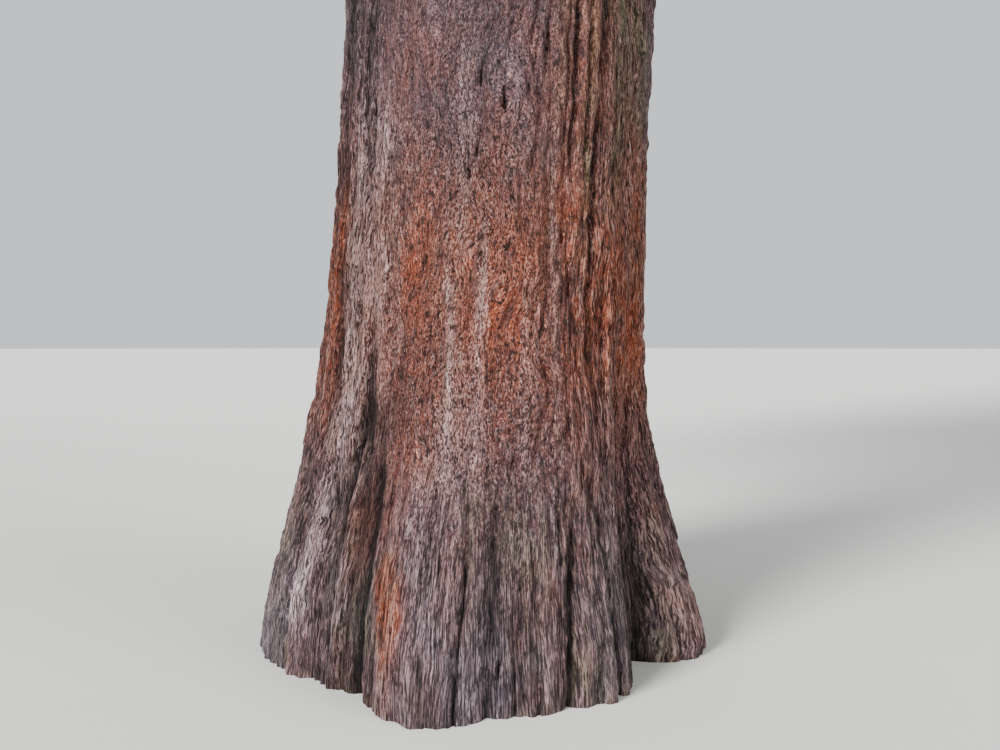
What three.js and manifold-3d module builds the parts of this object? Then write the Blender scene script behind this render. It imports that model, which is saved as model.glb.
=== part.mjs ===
// A giant sequoia tree grown in the open, in millimetres, +Z up, with the middle of the trunk's
// flat cut at ground level as the origin. One trunk runs from the ground to the tip. Boughs leave
// it on a spiral, sweep down and turn up again, and each ends in one mass of foliage.
import * as THREE from "three";
import { mergeVertices } from "three/addons/utils/BufferGeometryUtils.js";
import Module from "manifold-3d";

const wasm = await Module();
wasm.setup();

// Driving dimensions of the trunk
const TREE_HEIGHT = 31000;
const TRUNK_TOP = 29600;
const BOLE_RADIUS = 836;
const TAPER_POWER = 1.35;
const SWEEP = 350; // how far the trunk leans to +X before it grows straight up
const SWEEP_HEIGHT = 6500;
const FLARE = 188; // what the foot adds to the radius all round
const FLARE_HEIGHT = 960;
const FLARE_POWER = 1.7;
// Root lobes and the clefts between them: the direction in degrees from -Y towards +X, what each
// adds to the radius at the ground, half its width in degrees, and the height where it fades
const ROOT_LOBES = [
  { at: -76, reach: 133, spread: 19, rise: 1370 },
  { at: -41, reach: -25, spread: 9, rise: 900 },
  { at: -11, reach: 140, spread: 15, rise: 900 },
  { at: 27, reach: 40, spread: 11, rise: 800 },
  { at: 56, reach: -145, spread: 8, rise: 1500 },
  { at: 74, reach: 175, spread: 12, rise: 550 },
  { at: 103, reach: -130, spread: 9, rise: 1200 },
  { at: 131, reach: 170, spread: 16, rise: 1000 },
  { at: 162, reach: -90, spread: 9, rise: 1000 },
  { at: 187, reach: 150, spread: 15, rise: 950 },
  { at: 222, reach: -110, spread: 9, rise: 1100 },
  { at: 247, reach: 140, spread: 14, rise: 900 },
];
const TRUNK_SIDES = 60;
const UPPER_SIDES = 30;
const FOOT_TOP = 3400; // where the trunk goes over to fewer sides
const TRUNK_RINGS = 15;
const RING_CROWDING = 2.6; // how much closer the rings are at the foot

// Driving dimensions of the crown
const MASSES = 46; // besides the one at the top
const RING = 5; // the lowest masses form a ring
const RING_STEP = 0.35; // how much of a full step up each of them is
const BOUGHS = 12; // the lowest masses hang on boughs that show, the others sit close to the trunk
const LOWEST_HEART = 8100; // height of the middle of the lowest mass
const HIGHEST_HEART = 29350;
const VANISHING_HEIGHT = 36000; // the masses get closer and smaller towards it
const GOLDEN_ANGLE = 137.508;
const CROWN_FLOOR = 5700; // no foliage hangs lower
const CROWN_WIDEST = 8800; // height above the ground
const CROWN_RADIUS = 5150;
const STANDING_OUT = 480; // how far foliage may stand out of the crown's outline
const CROWN_POWER = 0.84;
const UNEVEN = 0.05; // how much the crown's radius varies from mass to mass
const HEART_OUT = 0.56; // how far out a mass's heart is, as a share of the crown's radius
const HEART_ALONG = 0.62; // how far along its limb that is
const LOW_SLOPE = -0.26; // how the lowest and the highest limbs leave the trunk
const HIGH_SLOPE = 0.5;
const SLOPE_POWER = 0.7;
const LEVELLING = 0.25; // how much of its slope a limb loses towards its tip
const TIP_LIFT = 0.3; // how far the tips turn up, as a share of the limb's reach
const SIDE_BEND = 0.06;
const BOUGH_END = 0.36; // where on its limb a bough ends and its mass starts
const STEM_END = 0.9;
const LIMB_THICKNESS = 0.034; // radius at the trunk, as a share of the limb's reach
const THINNEST = 10; // added to that radius
const LIMB_TAPER = 0.85;
const BOUGH_SIDES = 6;
const BOUGH_STEPS = 4;
const STEM_SIDES = 4;
const STEM_STEPS = 3;
const COLLAR = 0.5; // how much a limb swells where it leaves the trunk
const COLLAR_END = 0.25;
const JOINT_GAP = 0.3; // between two pieces that meet

// Driving dimensions of the foliage. A mass's size is half its width
const SIZE_SHARE = 0.66; // of the side of the square that the mass covers
const CORE_OUT = 0.62; // the core's half depth, half width and half height, as shares of the size
const CORE_WIDE = 0.8;
const CORE_HIGH = 0.84;
const CORE_SIDES = 8;
const CORE_RINGS = 4;
const CORE_LUMPS = 0.1;
const CORE_MARGIN = 30; // from a limb or the trunk
const BOUGH_MARGIN = 60; // from the tip of the mass's own bough
const WALL_MARGIN = 30; // from the wall between two masses
const WALL_SHIFT = 0.35; // how much a bigger mass pushes that wall away
const WALLS_PER_LIMB = 13;
const LOW_SPRAYS = 14; // on the lowest mass and on the highest
const HIGH_SPRAYS = 9;
const SPRAYS_AROUND = 0.625; // how much of the core they stand on, from its outer end
const SPRAY_OUTWARD = 0.35; // how much the sprays turn outwards and up
const SPRAY_LIFT = 0.22;
const SPRAY_LENGTH = 0.86; // as a share of the size
const SPRAY_WIDTH = 1.12; // as a share of the length
const SPRAY_THICKNESS = 0.09; // half of it, likewise
const SPRAY_ROOT = 0.72; // where a spray starts, as a share of the way out of the core
const SPRAY_TURN = 55; // degrees that a spray's face is turned from level, to one side or the other
const TURN_SPREAD = 25;
// The rim of a spray from tip to root, by way of a notch and a side tooth: angles in degrees and
// distances from the middle of the blade, as shares of its length
const SPRAY_RIM = [
  { turn: 0, far: 0.6 },
  { turn: 22, far: 0.4 },
  { turn: 82, far: 0.5 },
  { turn: 180, far: 0.4 },
];
const TWIG_EVERY = 3; // one spray of so many stands off on a twig
const TWIG_ROOT = 0.95; // where that spray starts
const TWIG_SPRAY = 0.85; // its size, as a share of the others'
const TWIG_INTO = 0.3; // how far the twig runs into it
const TWIG_RADIUS = 0.018; // as a share of the size
const TWIG_SIDES = 3;
const SMALLER = [1, 0.85, 0.7, 0.55]; // tries that a spray gets to fit its space
const LIMB_MARGIN = 10; // from a limb or the trunk, for sprays and twigs
const TOP_HEART = 30200;
const TOP_SIZE = 470;
const TOP_DEPTH = 1.35; // in place of the other cores' half depth
const TOP_STEM_RADIUS = 9;

const BARK = { color: 0x6f4c41, roughness: 0.92, metalness: 0 };
const GREEN = { color: 0x3f5a34, roughness: 0.8, metalness: 0 };

const UP = new THREE.Vector3(0, 0, 1);
const radians = THREE.MathUtils.degToRad;
const mix = THREE.MathUtils.lerp;

// A number from -1 to 1 that is always the same for the same pair
function jitter(a, b) {
  const s = Math.sin(a * 127.1 + b * 311.7) * 43758.5453;
  return 2 * (s - Math.floor(s)) - 1;
}

// A closed three.js geometry as a solid, without the triangles that have lost a side
function solidOf(geometry) {
  geometry.deleteAttribute("normal");
  geometry.deleteAttribute("uv");
  const merged = mergeVertices(geometry, 1e-3);
  const triVerts = [];
  for (let i = 0; i < merged.index.count; i += 3) {
    const triangle = [0, 1, 2].map((n) => merged.index.getX(i + n));
    if (new Set(triangle).size === 3) triVerts.push(...triangle);
  }
  return new wasm.Manifold(
    new wasm.Mesh({
      numProp: 3,
      vertProperties: merged.attributes.position.array,
      triVerts: new Uint32Array(triVerts),
    }),
  );
}

// A solid as a named mesh
function meshOf(name, solid, look) {
  const { vertProperties, triVerts } = solid.getMesh();
  const geometry = new THREE.BufferGeometry();
  geometry.setAttribute("position", new THREE.BufferAttribute(vertProperties, 3));
  geometry.setIndex(new THREE.BufferAttribute(triVerts, 1));
  const mesh = new THREE.Mesh(geometry, new THREE.MeshStandardMaterial(look));
  mesh.name = name;
  return mesh;
}

// Moves every vertex of a geometry to where place says
function reshape(geometry, place) {
  const position = geometry.attributes.position;
  const point = new THREE.Vector3();
  for (let i = 0; i < position.count; i++) {
    place(point.fromBufferAttribute(position, i), i);
    position.setXYZ(i, point.x, point.y, point.z);
  }
  return geometry;
}

// The middle of the trunk at a height
function trunkAxis(z) {
  const lean = SWEEP * (1 - Math.exp(-((z / SWEEP_HEIGHT) ** 2)));
  return new THREE.Vector3(lean, 0, z);
}

// The trunk's radius at a height, in a direction in degrees from -Y towards +X
function trunkRadius(z, direction) {
  const bole = BOLE_RADIUS * (1 - (z / TREE_HEIGHT) ** TAPER_POWER);
  let radius = bole + FLARE * Math.exp(-((z / FLARE_HEIGHT) ** FLARE_POWER));
  for (const { at, reach, spread, rise } of ROOT_LOBES) {
    const off = THREE.MathUtils.euclideanModulo(direction - at + 180, 360) - 180;
    radius += reach * Math.exp(-((off / spread) ** 2)) * Math.exp(-((z / rise) ** FLARE_POWER));
  }
  return radius;
}

// The trunk, or the same trunk grown on all sides
function trunkSolid(grown) {
  const shape = new THREE.CylinderGeometry(1, 1, 1, TRUNK_SIDES, TRUNK_RINGS);
  reshape(shape, (p) => {
    const up = p.y + 0.5;
    const z = TRUNK_TOP * up ** RING_CROWDING;
    const side = Math.round((Math.atan2(p.x, p.z) / (2 * Math.PI)) * TRUNK_SIDES);
    const sides = z > FOOT_TOP ? UPPER_SIDES : TRUNK_SIDES;
    const direction = (360 / sides) * Math.round((side * sides) / TRUNK_SIDES);
    const radius = Math.hypot(p.x, p.z) * (trunkRadius(z, direction) + grown);
    const axis = trunkAxis(z);
    const turn = radians(direction);
    p.set(axis.x + radius * Math.sin(turn), axis.y - radius * Math.cos(turn), z);
  });
  return solidOf(shape);
}

// A limb with straight or curved middle line, whose radius is a function of the way along
function limbSolid(middle, radiusAt, sides, steps) {
  const shape = new THREE.CylinderGeometry(1, 1, 1, sides, steps);
  const side = new THREE.Vector3();
  const top = new THREE.Vector3();
  reshape(shape, (p) => {
    const along = p.y + 0.5;
    const tangent = middle.getTangent(along);
    const level = Math.abs(tangent.z) > 0.95 ? new THREE.Vector3(0, 1, 0) : UP;
    side.crossVectors(tangent, level).normalize();
    top.crossVectors(side, tangent);
    const radius = radiusAt(along);
    const centre = middle.getPoint(along);
    const across = p.x * radius;
    const over = p.z * radius;
    p.copy(centre).addScaledVector(side, across).addScaledVector(top, over);
  });
  return solidOf(shape);
}

// The crown's outline: its radius at a height
function crownRadius(z) {
  const share = (TREE_HEIGHT - z) / (TREE_HEIGHT - CROWN_WIDEST);
  return CROWN_RADIUS * Math.min(1, Math.max(share, 0)) ** CROWN_POWER;
}

// One limb of the crown, from the trunk's middle through the heart of its mass to the tip
class Limb extends THREE.Curve {
  constructor(index) {
    super();
    const saved = RING * (1 - RING_STEP);
    const rank = (index < RING ? RING_STEP * index : index - saved) / (MASSES - 1 - saved);
    const shrink = (VANISHING_HEIGHT - HIGHEST_HEART) / (VANISHING_HEIGHT - LOWEST_HEART);
    const below = (VANISHING_HEIGHT - LOWEST_HEART) * shrink ** rank;
    const height = VANISHING_HEIGHT - below;
    const spacing = (-below * Math.log(shrink)) / (MASSES - 1 - saved);
    const outline = crownRadius(height) * (1 + UNEVEN * jitter(index, 3));
    const turn = radians(index * GOLDEN_ANGLE + 7 * jitter(index, 1));
    this.index = index;
    this.depth = CORE_OUT;
    this.sprays = Math.round(mix(LOW_SPRAYS, HIGH_SPRAYS, rank));
    this.out = new THREE.Vector3(Math.sin(turn), -Math.cos(turn), 0);
    this.aside = new THREE.Vector3(Math.cos(turn), Math.sin(turn), 0);
    this.outmost = (1 - HEART_OUT) * outline + STANDING_OUT;
    this.reach = (HEART_OUT * outline) / HEART_ALONG;
    this.size = SIZE_SHARE * Math.sqrt(2 * Math.PI * HEART_OUT * outline * spacing);
    this.slope = mix(LOW_SLOPE, HIGH_SLOPE, rank ** SLOPE_POWER) + 0.04 * jitter(index, 2);
    this.bend = SIDE_BEND * jitter(index, 4);
    this.foot = height - this.reach * this.rise(HEART_ALONG);
    this.heart = this.getPoint(HEART_ALONG);
  }
  rise(t) {
    return this.slope * t * (1 - LEVELLING * t) + TIP_LIFT * t ** 3;
  }
  getPoint(t, target = new THREE.Vector3()) {
    return target
      .copy(trunkAxis(this.foot))
      .addScaledVector(this.out, this.reach * t)
      .addScaledVector(this.aside, this.reach * this.bend * Math.sin(Math.PI * t))
      .addScaledVector(UP, this.reach * this.rise(t));
  }
  radius(t) {
    const swollen = 1 + COLLAR * Math.exp(-((t / COLLAR_END) ** 2));
    return (LIMB_THICKNESS * this.reach + THINNEST) * swollen * (1 - LIMB_TAPER * t);
  }
}

// The trunk's last shoot, above its tip
class Leader extends THREE.Curve {
  constructor() {
    super();
    this.index = MASSES;
    this.depth = TOP_DEPTH;
    this.sprays = HIGH_SPRAYS;
    this.outmost = TREE_HEIGHT - TOP_HEART;
    this.out = UP.clone();
    this.aside = new THREE.Vector3(1, 0, 0);
    this.size = TOP_SIZE;
    this.heart = trunkAxis(TOP_HEART);
  }
  getPoint(t, target = new THREE.Vector3()) {
    return target.copy(trunkAxis(mix(TRUNK_TOP + JOINT_GAP, TREE_HEIGHT - 0.5 * TOP_SIZE, t)));
  }
  radius(t) {
    return mix(trunkRadius(TRUNK_TOP, 0), TOP_STEM_RADIUS, t);
  }
}

// Part of a limb, as a solid
function stretchSolid(limb, from, to, sides, steps, grown = 0) {
  const middle = new THREE.Curve();
  middle.getPoint = (t, target) => limb.getPoint(mix(from, to, t), target);
  return limbSolid(middle, (t) => limb.radius(mix(from, to, t)) + grown, sides, steps);
}

// The flat walls that a mass keeps inside of: one to each neighbour, the crown's floor and outline,
// and, for its core alone, the trunk, its own bough and each place on another limb. Each wall has
// its outward direction and its distance from the heart
function wallsOf(own, limbs) {
  const walls = [];
  const wall = (towards, distance) => walls.push({ towards, distance, coreOnly: false });
  const coreWall = (to, margin) => {
    const room = to.length() - margin;
    walls.push({ towards: to.normalize(), distance: room, coreOnly: true });
  };
  for (const other of limbs) {
    if (other === own) continue;
    const apart = other.heart.clone().sub(own.heart);
    const span = apart.length();
    const share = 0.5 + (WALL_SHIFT * (own.size ** 2 - other.size ** 2)) / span ** 2;
    wall(apart.normalize(), span * share - WALL_MARGIN);
    if (other.index === MASSES) continue;
    for (let step = 1; step <= WALLS_PER_LIMB; step++) {
      const t = (HEART_ALONG * step) / WALLS_PER_LIMB;
      coreWall(other.getPoint(t).sub(own.heart), other.radius(t) + CORE_MARGIN);
    }
  }
  wall(UP.clone().negate(), own.heart.z - CROWN_FLOOR);
  wall(own.out, own.outmost);
  if (own.index < BOUGHS) coreWall(own.getPoint(BOUGH_END).sub(own.heart), BOUGH_MARGIN);
  else if (own.index < MASSES) {
    const back = trunkAxis(own.heart.z).sub(own.heart);
    const away = own.out.clone().multiplyScalar(back.dot(own.out));
    coreWall(away, trunkRadius(own.heart.z - own.size, 0) + CORE_MARGIN);
  }
  return walls;
}

// A mass's core, which has few faces and swells as far as its walls let it
function coreOf(limb, walls) {
  const high = new THREE.Vector3().crossVectors(limb.out, limb.aside);
  const reachOf = (d) => {
    const out = d.dot(limb.out) / limb.depth;
    const aside = d.dot(limb.aside) / CORE_WIDE;
    const over = d.dot(high) / CORE_HIGH;
    let reach = limb.size / Math.hypot(out, aside, over);
    for (const { towards, distance } of walls) {
      const facing = d.dot(towards);
      if (facing > 0) reach = Math.min(reach, distance / facing);
    }
    return reach;
  };
  const shape = new THREE.SphereGeometry(1, CORE_SIDES, CORE_RINGS);
  reshape(shape, (p) => {
    const d = limb.out.clone().multiplyScalar(p.y);
    d.addScaledVector(limb.aside, p.z).addScaledVector(high, p.x).normalize();
    const lump = Math.abs(jitter(Math.round(3 * p.x + 9 * p.y), limb.index + Math.round(6 * p.z)));
    p.copy(limb.heart).addScaledVector(d, reachOf(d) * (1 - CORE_LUMPS * lump));
  });
  return { solid: solidOf(shape), reachOf, high };
}

// A spray of needles: a toothed blade from its root, along a direction, with its face turned up
function spraySolid(root, along, face, length) {
  const across = new THREE.Vector3().crossVectors(along, face).normalize();
  const over = new THREE.Vector3().crossVectors(across, along);
  const middle = root.clone().addScaledVector(along, SPRAY_RIM.at(-1).far * length);
  const half = SPRAY_RIM.length - 1;
  const shape = new THREE.SphereGeometry(1, 2 * half, 2);
  return solidOf(
    reshape(shape, (p) => {
      const onRim = Math.abs(p.y) < 0.5;
      const around = onRim ? Math.atan2(p.z, p.x) : 0;
      const { turn, far } = SPRAY_RIM[Math.round((Math.abs(around) / Math.PI) * half)];
      const ahead = onRim ? far * Math.cos(radians(turn)) : 0;
      const aside = onRim ? Math.sign(around) * far * Math.sin(radians(turn)) * SPRAY_WIDTH : 0;
      const rise = onRim ? 0 : p.y * SPRAY_THICKNESS;
      p.copy(middle).addScaledVector(along, ahead * length);
      p.addScaledVector(across, aside * length).addScaledVector(over, rise * length);
    }),
  );
}

// All the corners of a solid
function corners(solid) {
  const { vertProperties } = solid.getMesh();
  const found = [];
  for (let i = 0; i < vertProperties.length; i += 3)
    found.push(new THREE.Vector3().fromArray(vertProperties, i));
  return found;
}

// The largest of the sizes to try that all of the pieces made fit at, or nothing
function largestThatFits(make, fits) {
  for (const share of SMALLER) {
    const made = make(share);
    if (made.every(fits)) return made;
  }
  return [];
}

// One spray of a mass, some of them on a twig. Each points a golden angle further round the mass
function sprayPieces(limb, core, number, share) {
  const facing = 1 - (2 * SPRAYS_AROUND * (number + 0.35)) / limb.sprays;
  const round = radians(number * GOLDEN_ANGLE + 50 * jitter(limb.index, 7));
  const level = Math.sqrt(1 - facing ** 2);
  const towards = limb.out.clone().multiplyScalar(facing);
  towards.addScaledVector(limb.aside, level * Math.cos(round));
  towards.addScaledVector(core.high, level * Math.sin(round));
  const ahead = towards.clone().addScaledVector(limb.out, SPRAY_OUTWARD);
  ahead.addScaledVector(UP, SPRAY_LIFT).normalize();
  const onTwig = number % TWIG_EVERY === 1;
  const length = SPRAY_LENGTH * limb.size * share * (onTwig ? TWIG_SPRAY : 1);
  const root = core.reachOf(towards) * (onTwig ? TWIG_ROOT : SPRAY_ROOT);
  const start = limb.heart.clone().addScaledVector(towards, root);
  const side = number % 2 ? 1 : -1;
  const turn = radians(SPRAY_TURN * side + TURN_SPREAD * jitter(number, limb.index));
  const face = UP.clone().multiplyScalar(Math.cos(turn)).addScaledVector(limb.aside, Math.sin(turn));
  const pieces = [spraySolid(start, ahead, face, length)];
  if (onTwig) {
    const end = start.clone().addScaledVector(ahead, TWIG_INTO * length);
    const thick = TWIG_RADIUS * limb.size + THINNEST;
    const middle = new THREE.LineCurve3(limb.heart, end);
    pieces.push(limbSolid(middle, (t) => thick * (1 - t / 2), TWIG_SIDES, 1));
  }
  return pieces;
}

// A mass of foliage: a stem, a core on it, and the sprays and twigs that stand out, fused
function massSolid(limb, stem, limbs, wood) {
  const walls = wallsOf(limb, limbs);
  const core = coreOf(limb, walls);
  const space = walls.filter((wall) => !wall.coreOnly);
  const inside = (p) => space.every((w) => p.clone().sub(limb.heart).dot(w.towards) < w.distance);
  const placed = [...wood];
  const fits = (piece) =>
    corners(piece).every(inside) && placed.every((other) => piece.intersect(other).isEmpty());
  let mass = stem.add(core.solid);
  for (let number = 0; number < limb.sprays; number++) {
    const pieces = largestThatFits((share) => sprayPieces(limb, core, number, share), fits);
    placed.push(...pieces);
    for (const piece of pieces) mass = mass.add(piece);
  }
  return mass.decompose().reduce((a, b) => (a.volume() > b.volume() ? a : b));
}

const tree = new THREE.Group();
const trunk = trunkSolid(0);
const againstTrunk = trunkSolid(JOINT_GAP + 0.1);
const limbs = Array.from({ length: MASSES }, (_, index) => new Limb(index));
const leader = new Leader();
const everyLimb = [...limbs, leader];
const label = (index) => String(index + 1).padStart(2, "0");
const keepOut = limbs.map((limb) => {
  const end = limb.index < BOUGHS ? BOUGH_END : HEART_ALONG;
  return stretchSolid(limb, 0, end, BOUGH_SIDES, BOUGH_STEPS, LIMB_MARGIN);
});
const trunkKeepOut = trunkSolid(LIMB_MARGIN);

tree.add(meshOf("trunk", trunk, BARK));
for (const limb of limbs) {
  const onBough = limb.index < BOUGHS;
  if (onBough) {
    const bough = stretchSolid(limb, 0, BOUGH_END, BOUGH_SIDES, BOUGH_STEPS).subtract(againstTrunk);
    tree.add(meshOf(`bough_${label(limb.index)}`, bough, BARK));
  }
  const start = onBough ? BOUGH_END + JOINT_GAP / limb.reach : 0;
  const stem = stretchSolid(limb, start, STEM_END, STEM_SIDES, STEM_STEPS).subtract(againstTrunk);
  const wood = [trunkKeepOut, ...keepOut.filter((_, index) => onBough || index !== limb.index)];
  tree.add(meshOf(`foliage_${label(limb.index)}`, massSolid(limb, stem, everyLimb, wood), GREEN));
}
const shoot = stretchSolid(leader, 0, 1, STEM_SIDES, 1);
tree.add(meshOf("foliage_top", massSolid(leader, shoot, everyLimb, [trunkKeepOut, ...keepOut]), GREEN));

export default tree;
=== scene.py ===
# A giant sequoia tree: a trunk with furrowed bark, its boughs, twigs and needles, on a pale floor
import math

import bpy
import numpy as np
from bpy.props import FloatProperty, FloatVectorProperty, IntProperty, PointerProperty
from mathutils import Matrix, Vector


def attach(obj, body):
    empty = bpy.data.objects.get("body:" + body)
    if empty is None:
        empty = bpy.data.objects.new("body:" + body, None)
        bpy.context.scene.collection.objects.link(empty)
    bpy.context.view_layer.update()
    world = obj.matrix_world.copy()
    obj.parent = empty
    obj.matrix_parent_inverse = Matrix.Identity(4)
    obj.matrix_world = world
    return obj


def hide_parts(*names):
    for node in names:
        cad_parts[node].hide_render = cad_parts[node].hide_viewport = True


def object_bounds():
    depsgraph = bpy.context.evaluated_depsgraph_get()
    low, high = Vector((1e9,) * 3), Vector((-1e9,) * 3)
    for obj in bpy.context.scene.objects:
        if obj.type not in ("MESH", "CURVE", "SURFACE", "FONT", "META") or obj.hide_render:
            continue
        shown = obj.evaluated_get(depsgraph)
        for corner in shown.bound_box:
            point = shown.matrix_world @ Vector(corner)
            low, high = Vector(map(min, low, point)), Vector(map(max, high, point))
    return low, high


bl_info = {
    "name": "Park conifer",
    "version": (1, 0, 0),
    "blender": (4, 5, 0),
    "location": "3D View > Sidebar > Conifer",
    "description": "Trunk, boughs, twigs and needles of a tall conifer",
    "category": "Add Mesh",
}

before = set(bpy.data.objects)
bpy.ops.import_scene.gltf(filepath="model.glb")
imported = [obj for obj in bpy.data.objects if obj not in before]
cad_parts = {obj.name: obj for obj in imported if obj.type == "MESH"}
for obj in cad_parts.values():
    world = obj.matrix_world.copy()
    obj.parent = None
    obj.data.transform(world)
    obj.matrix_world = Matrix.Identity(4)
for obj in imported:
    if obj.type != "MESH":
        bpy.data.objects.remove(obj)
CAD_BOX = np.array([list(corner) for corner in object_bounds()])

# The trunk's shape, as the solids have it, in metres and degrees from -Y towards +X
TREE_HEIGHT = 31.0
TRUNK_TOP = 29.6
BOLE_RADIUS = 0.836
TAPER_POWER = 1.35
SWEEP = 0.35
SWEEP_HEIGHT = 6.5
FLARE = 0.188
FLARE_HEIGHT = 0.96
FLARE_POWER = 1.7
ROOT_LOBES = (
    (-76, 0.133, 19, 1.37),
    (-41, -0.025, 9, 0.9),
    (-11, 0.14, 15, 0.9),
    (27, 0.04, 11, 0.8),
    (56, -0.145, 8, 1.5),
    (74, 0.175, 12, 0.55),
    (103, -0.13, 9, 1.2),
    (131, 0.17, 16, 1.0),
    (162, -0.09, 9, 1.0),
    (187, 0.15, 15, 0.95),
    (222, -0.11, 9, 1.1),
    (247, 0.14, 14, 0.9),
)

# The crown's shape, likewise
MASSES = 46
RING = 5
RING_STEP = 0.35
BOUGHS = 12
LOWEST_HEART = 8.1
HIGHEST_HEART = 29.35
VANISHING_HEIGHT = 36.0
GOLDEN_ANGLE = 137.508
CROWN_FLOOR = 5.7
CROWN_WIDEST = 8.8
CROWN_RADIUS = 5.15
STANDING_OUT = 0.48
CROWN_POWER = 0.84
UNEVEN = 0.05
HEART_OUT = 0.56
HEART_ALONG = 0.62
LOW_SLOPE = -0.26
HIGH_SLOPE = 0.5
SLOPE_POWER = 0.7
LEVELLING = 0.25
TIP_LIFT = 0.3
SIDE_BEND = 0.06
STEM_END = 0.9
LIMB_THICKNESS = 0.034
THINNEST = 0.01
LIMB_TAPER = 0.85
COLLAR = 0.5
COLLAR_END = 0.25
SIZE_SHARE = 0.66
CORE_OUT = 0.62
CORE_WIDE = 0.8
CORE_HIGH = 0.84
WALL_MARGIN = 0.03
WALL_SHIFT = 0.35
LOW_SPRAYS = 14
HIGH_SPRAYS = 9
SPRAYS_AROUND = 0.625
SPRAY_OUTWARD = 0.35
SPRAY_LIFT = 0.22
SPRAY_LENGTH = 0.86
SPRAY_WIDTH = 1.12
SPRAY_ROOT = 0.72
SPRAY_TURN = 55
TURN_SPREAD = 25
TWIG_EVERY = 3
TWIG_ROOT = 0.95
TWIG_SPRAY = 0.85
SMALLER = (1, 0.85, 0.7, 0.55)
TOP_HEART = 30.2
TOP_SIZE = 0.47
TOP_DEPTH = 1.35

# Steps along a limb and sides of it, for the boughs and for the stems inside the masses
BOUGH_MESH = (34, 14)
STEM_MESH = (18, 8)

# Branches in a mass: how far round it, where on the stem, how far out, how thick, and how far they sag
FEWEST_BRANCHES = 6
BRANCHES_AROUND = 1.75
FIRST_BRANCH = 0.42
LAST_BRANCH = STEM_END - 0.04
BRANCH_REACH = 0.78
BRANCH_RADIUS = 0.009
BRANCH_SAG = 0.05

# Twigs on a branch, likewise
FEWEST_TWIGS = 2
FIRST_TWIG = 0.3
TWIG_STRAY = 0.75
TWIG_REACH = 0.86
TWIG_REACH_MORE = 0.12
TWIG_RADIUS = 0.007
TWIG_THICKER = 0.003
TWIG_SAG = 0.03

# Fronds on the sprays: where they are widest and end, in shares of their length, and their stalks
FROND_WIDEST = 0.45
FROND_END = 0.93
FROND_UNEVEN = 0.045
STALK_START = 0.4
STALK_RADIUS = 0.008
STALK_THICKER = 0.006
STALK_SAG = 0.04
SIDE_TWIG_RADIUS = 0.006
SIDE_TWIG_THICKER = 0.002

# Sprigs are this much longer for each metre of a mass's size, in the mass and on its sprays
SPRIG_GAIN = 0.09
FROND_SPRIG_GAIN = 0.07

# How far sprigs may pass the solids' box, and the crown's floor
SPARE = (0.15, 0.15, 0.08)
FLOOR_SPARE = 0.1

# Masses whose needles are one piece, from the first to before the last
TIERS = ((0, 5), (5, 11), (11, 18), (18, 29), (29, MASSES + 1))

# A sprig a unit long: its kinds and cords, half their width, their lean in degrees, their length
SPRIG_SHAPES = 4
CORDS = 6
CORD_WIDTH = 0.062
CORD_LEAN = 46
CORD_LENGTH = 0.44
CORD_SHORTER = 0.035
FIRST_CORD = 0.05
CORDS_ALONG = 0.72

# Bark mesh: half its front in degrees, columns for one higher up, row spread, smooth top in metres
FRONT_SIDE = 100
COARSER = 4
ROW_SPREAD = 1.05
TOP_FADE = 1.5

# Seeds of the random draws
BOUGH_SEED = 60
SPRIG_SEED = 70
FOLIAGE_SEED = 900

# Fibres are this much longer at the foot, up to about this height
LONGER_FIBRES = 0.5
FOOT_FIBRES = 1.2

# Zones of the bark: share, middle and half width in degrees, and the heights between which it sets in
FLAKY_SIDE = (1, -3, 32, 0.5, 1.2)
CALM_LEFT = (0.85, -47, 14, 1.2, 2.2)
CALM_RIGHT = (0.5, 45, 24, 1.0, 1.6)
OLIVE_SIDE = (0.8, 48, 25, 1.7, 2.5)

# Layers of noise: share, cells around the trunk, height of a cell, and seed
FIBRE_LEAN = ((3.4, 5, 2.4, 11), (1.3, 16, 0.8, 12), (0.5, 48, 0.25, 13))
FIBRE_SWIRL = ((2.6, 24, 0.3, 15), (1.2, 50, 0.14, 16), (0.4, 110, 0.07, 17))
FURROW_SHIVER = ((0.7, 40, 0.25, 41), (0.45, 90, 0.08, 42), (0.25, 160, 0.03, 43))
COLOUR_PATCHES = ((1, 12, 0.7, 51), (0.6, 30, 0.3, 52), (0.35, 80, 0.1, 53))
PALE_LINES = ((1, 90, 0.9, 54), (0.5, 180, 0.4, 55))
OLIVE_PATCHES = ((1, 26, 0.6, 57), (0.5, 60, 0.3, 58))
BROAD_SWELLING = (0.018, 14, 1.3, 31)
NARROW_SWELLING = (0.01, 34, 0.8, 32)

# Single noises: cells around the trunk, height of a cell, and seed
FURROWED_PATCHES = (9, 1.1, 22)
FOOT_SWELLING = (28, 1.6, 36)
FURROW_WIDTHS = (30, 0.15, 44)
FURROW_DEPTHS = (24, 0.14, 45)
WRINKLE_SHIFTS = (60, 0.12, 46)
FIBRE_LENGTHS = (20, 0.4, 56)
OLIVE_LINES = (110, 1.2, 59)
OLIVE_SHIFTS = (60, 0.2, 60)

# Creases: cells around the trunk, height of a cell, seed, and width, and below how deep in metres
BROAD_CREASES = (22, 2.4, 21, 0.42)
MIDDLE_CREASES = (46, 1.2, 23, 0.45)
RIDGE_CREASES = (76, 1.8, 29, 0.5)
FINE_CREASES = (100, 0.8, 25, 0.5)
THIN_CREASES = (220, 0.45, 27, 0.5)
BROAD_DEPTH = 0.05
MIDDLE_DEPTH = 0.024
RIDGE_DEPTH = 0.02
FINE_DEPTH = 0.012
FINE_DEPTH_AT_FOOT = 0.005
THIN_DEPTH = 0.004

# Flakes: height in metres, cells around the trunk, height of a cell, and seed
FLAKES = ((0.004, 120, 0.1, 33), (0.003, 280, 0.045, 35))

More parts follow.
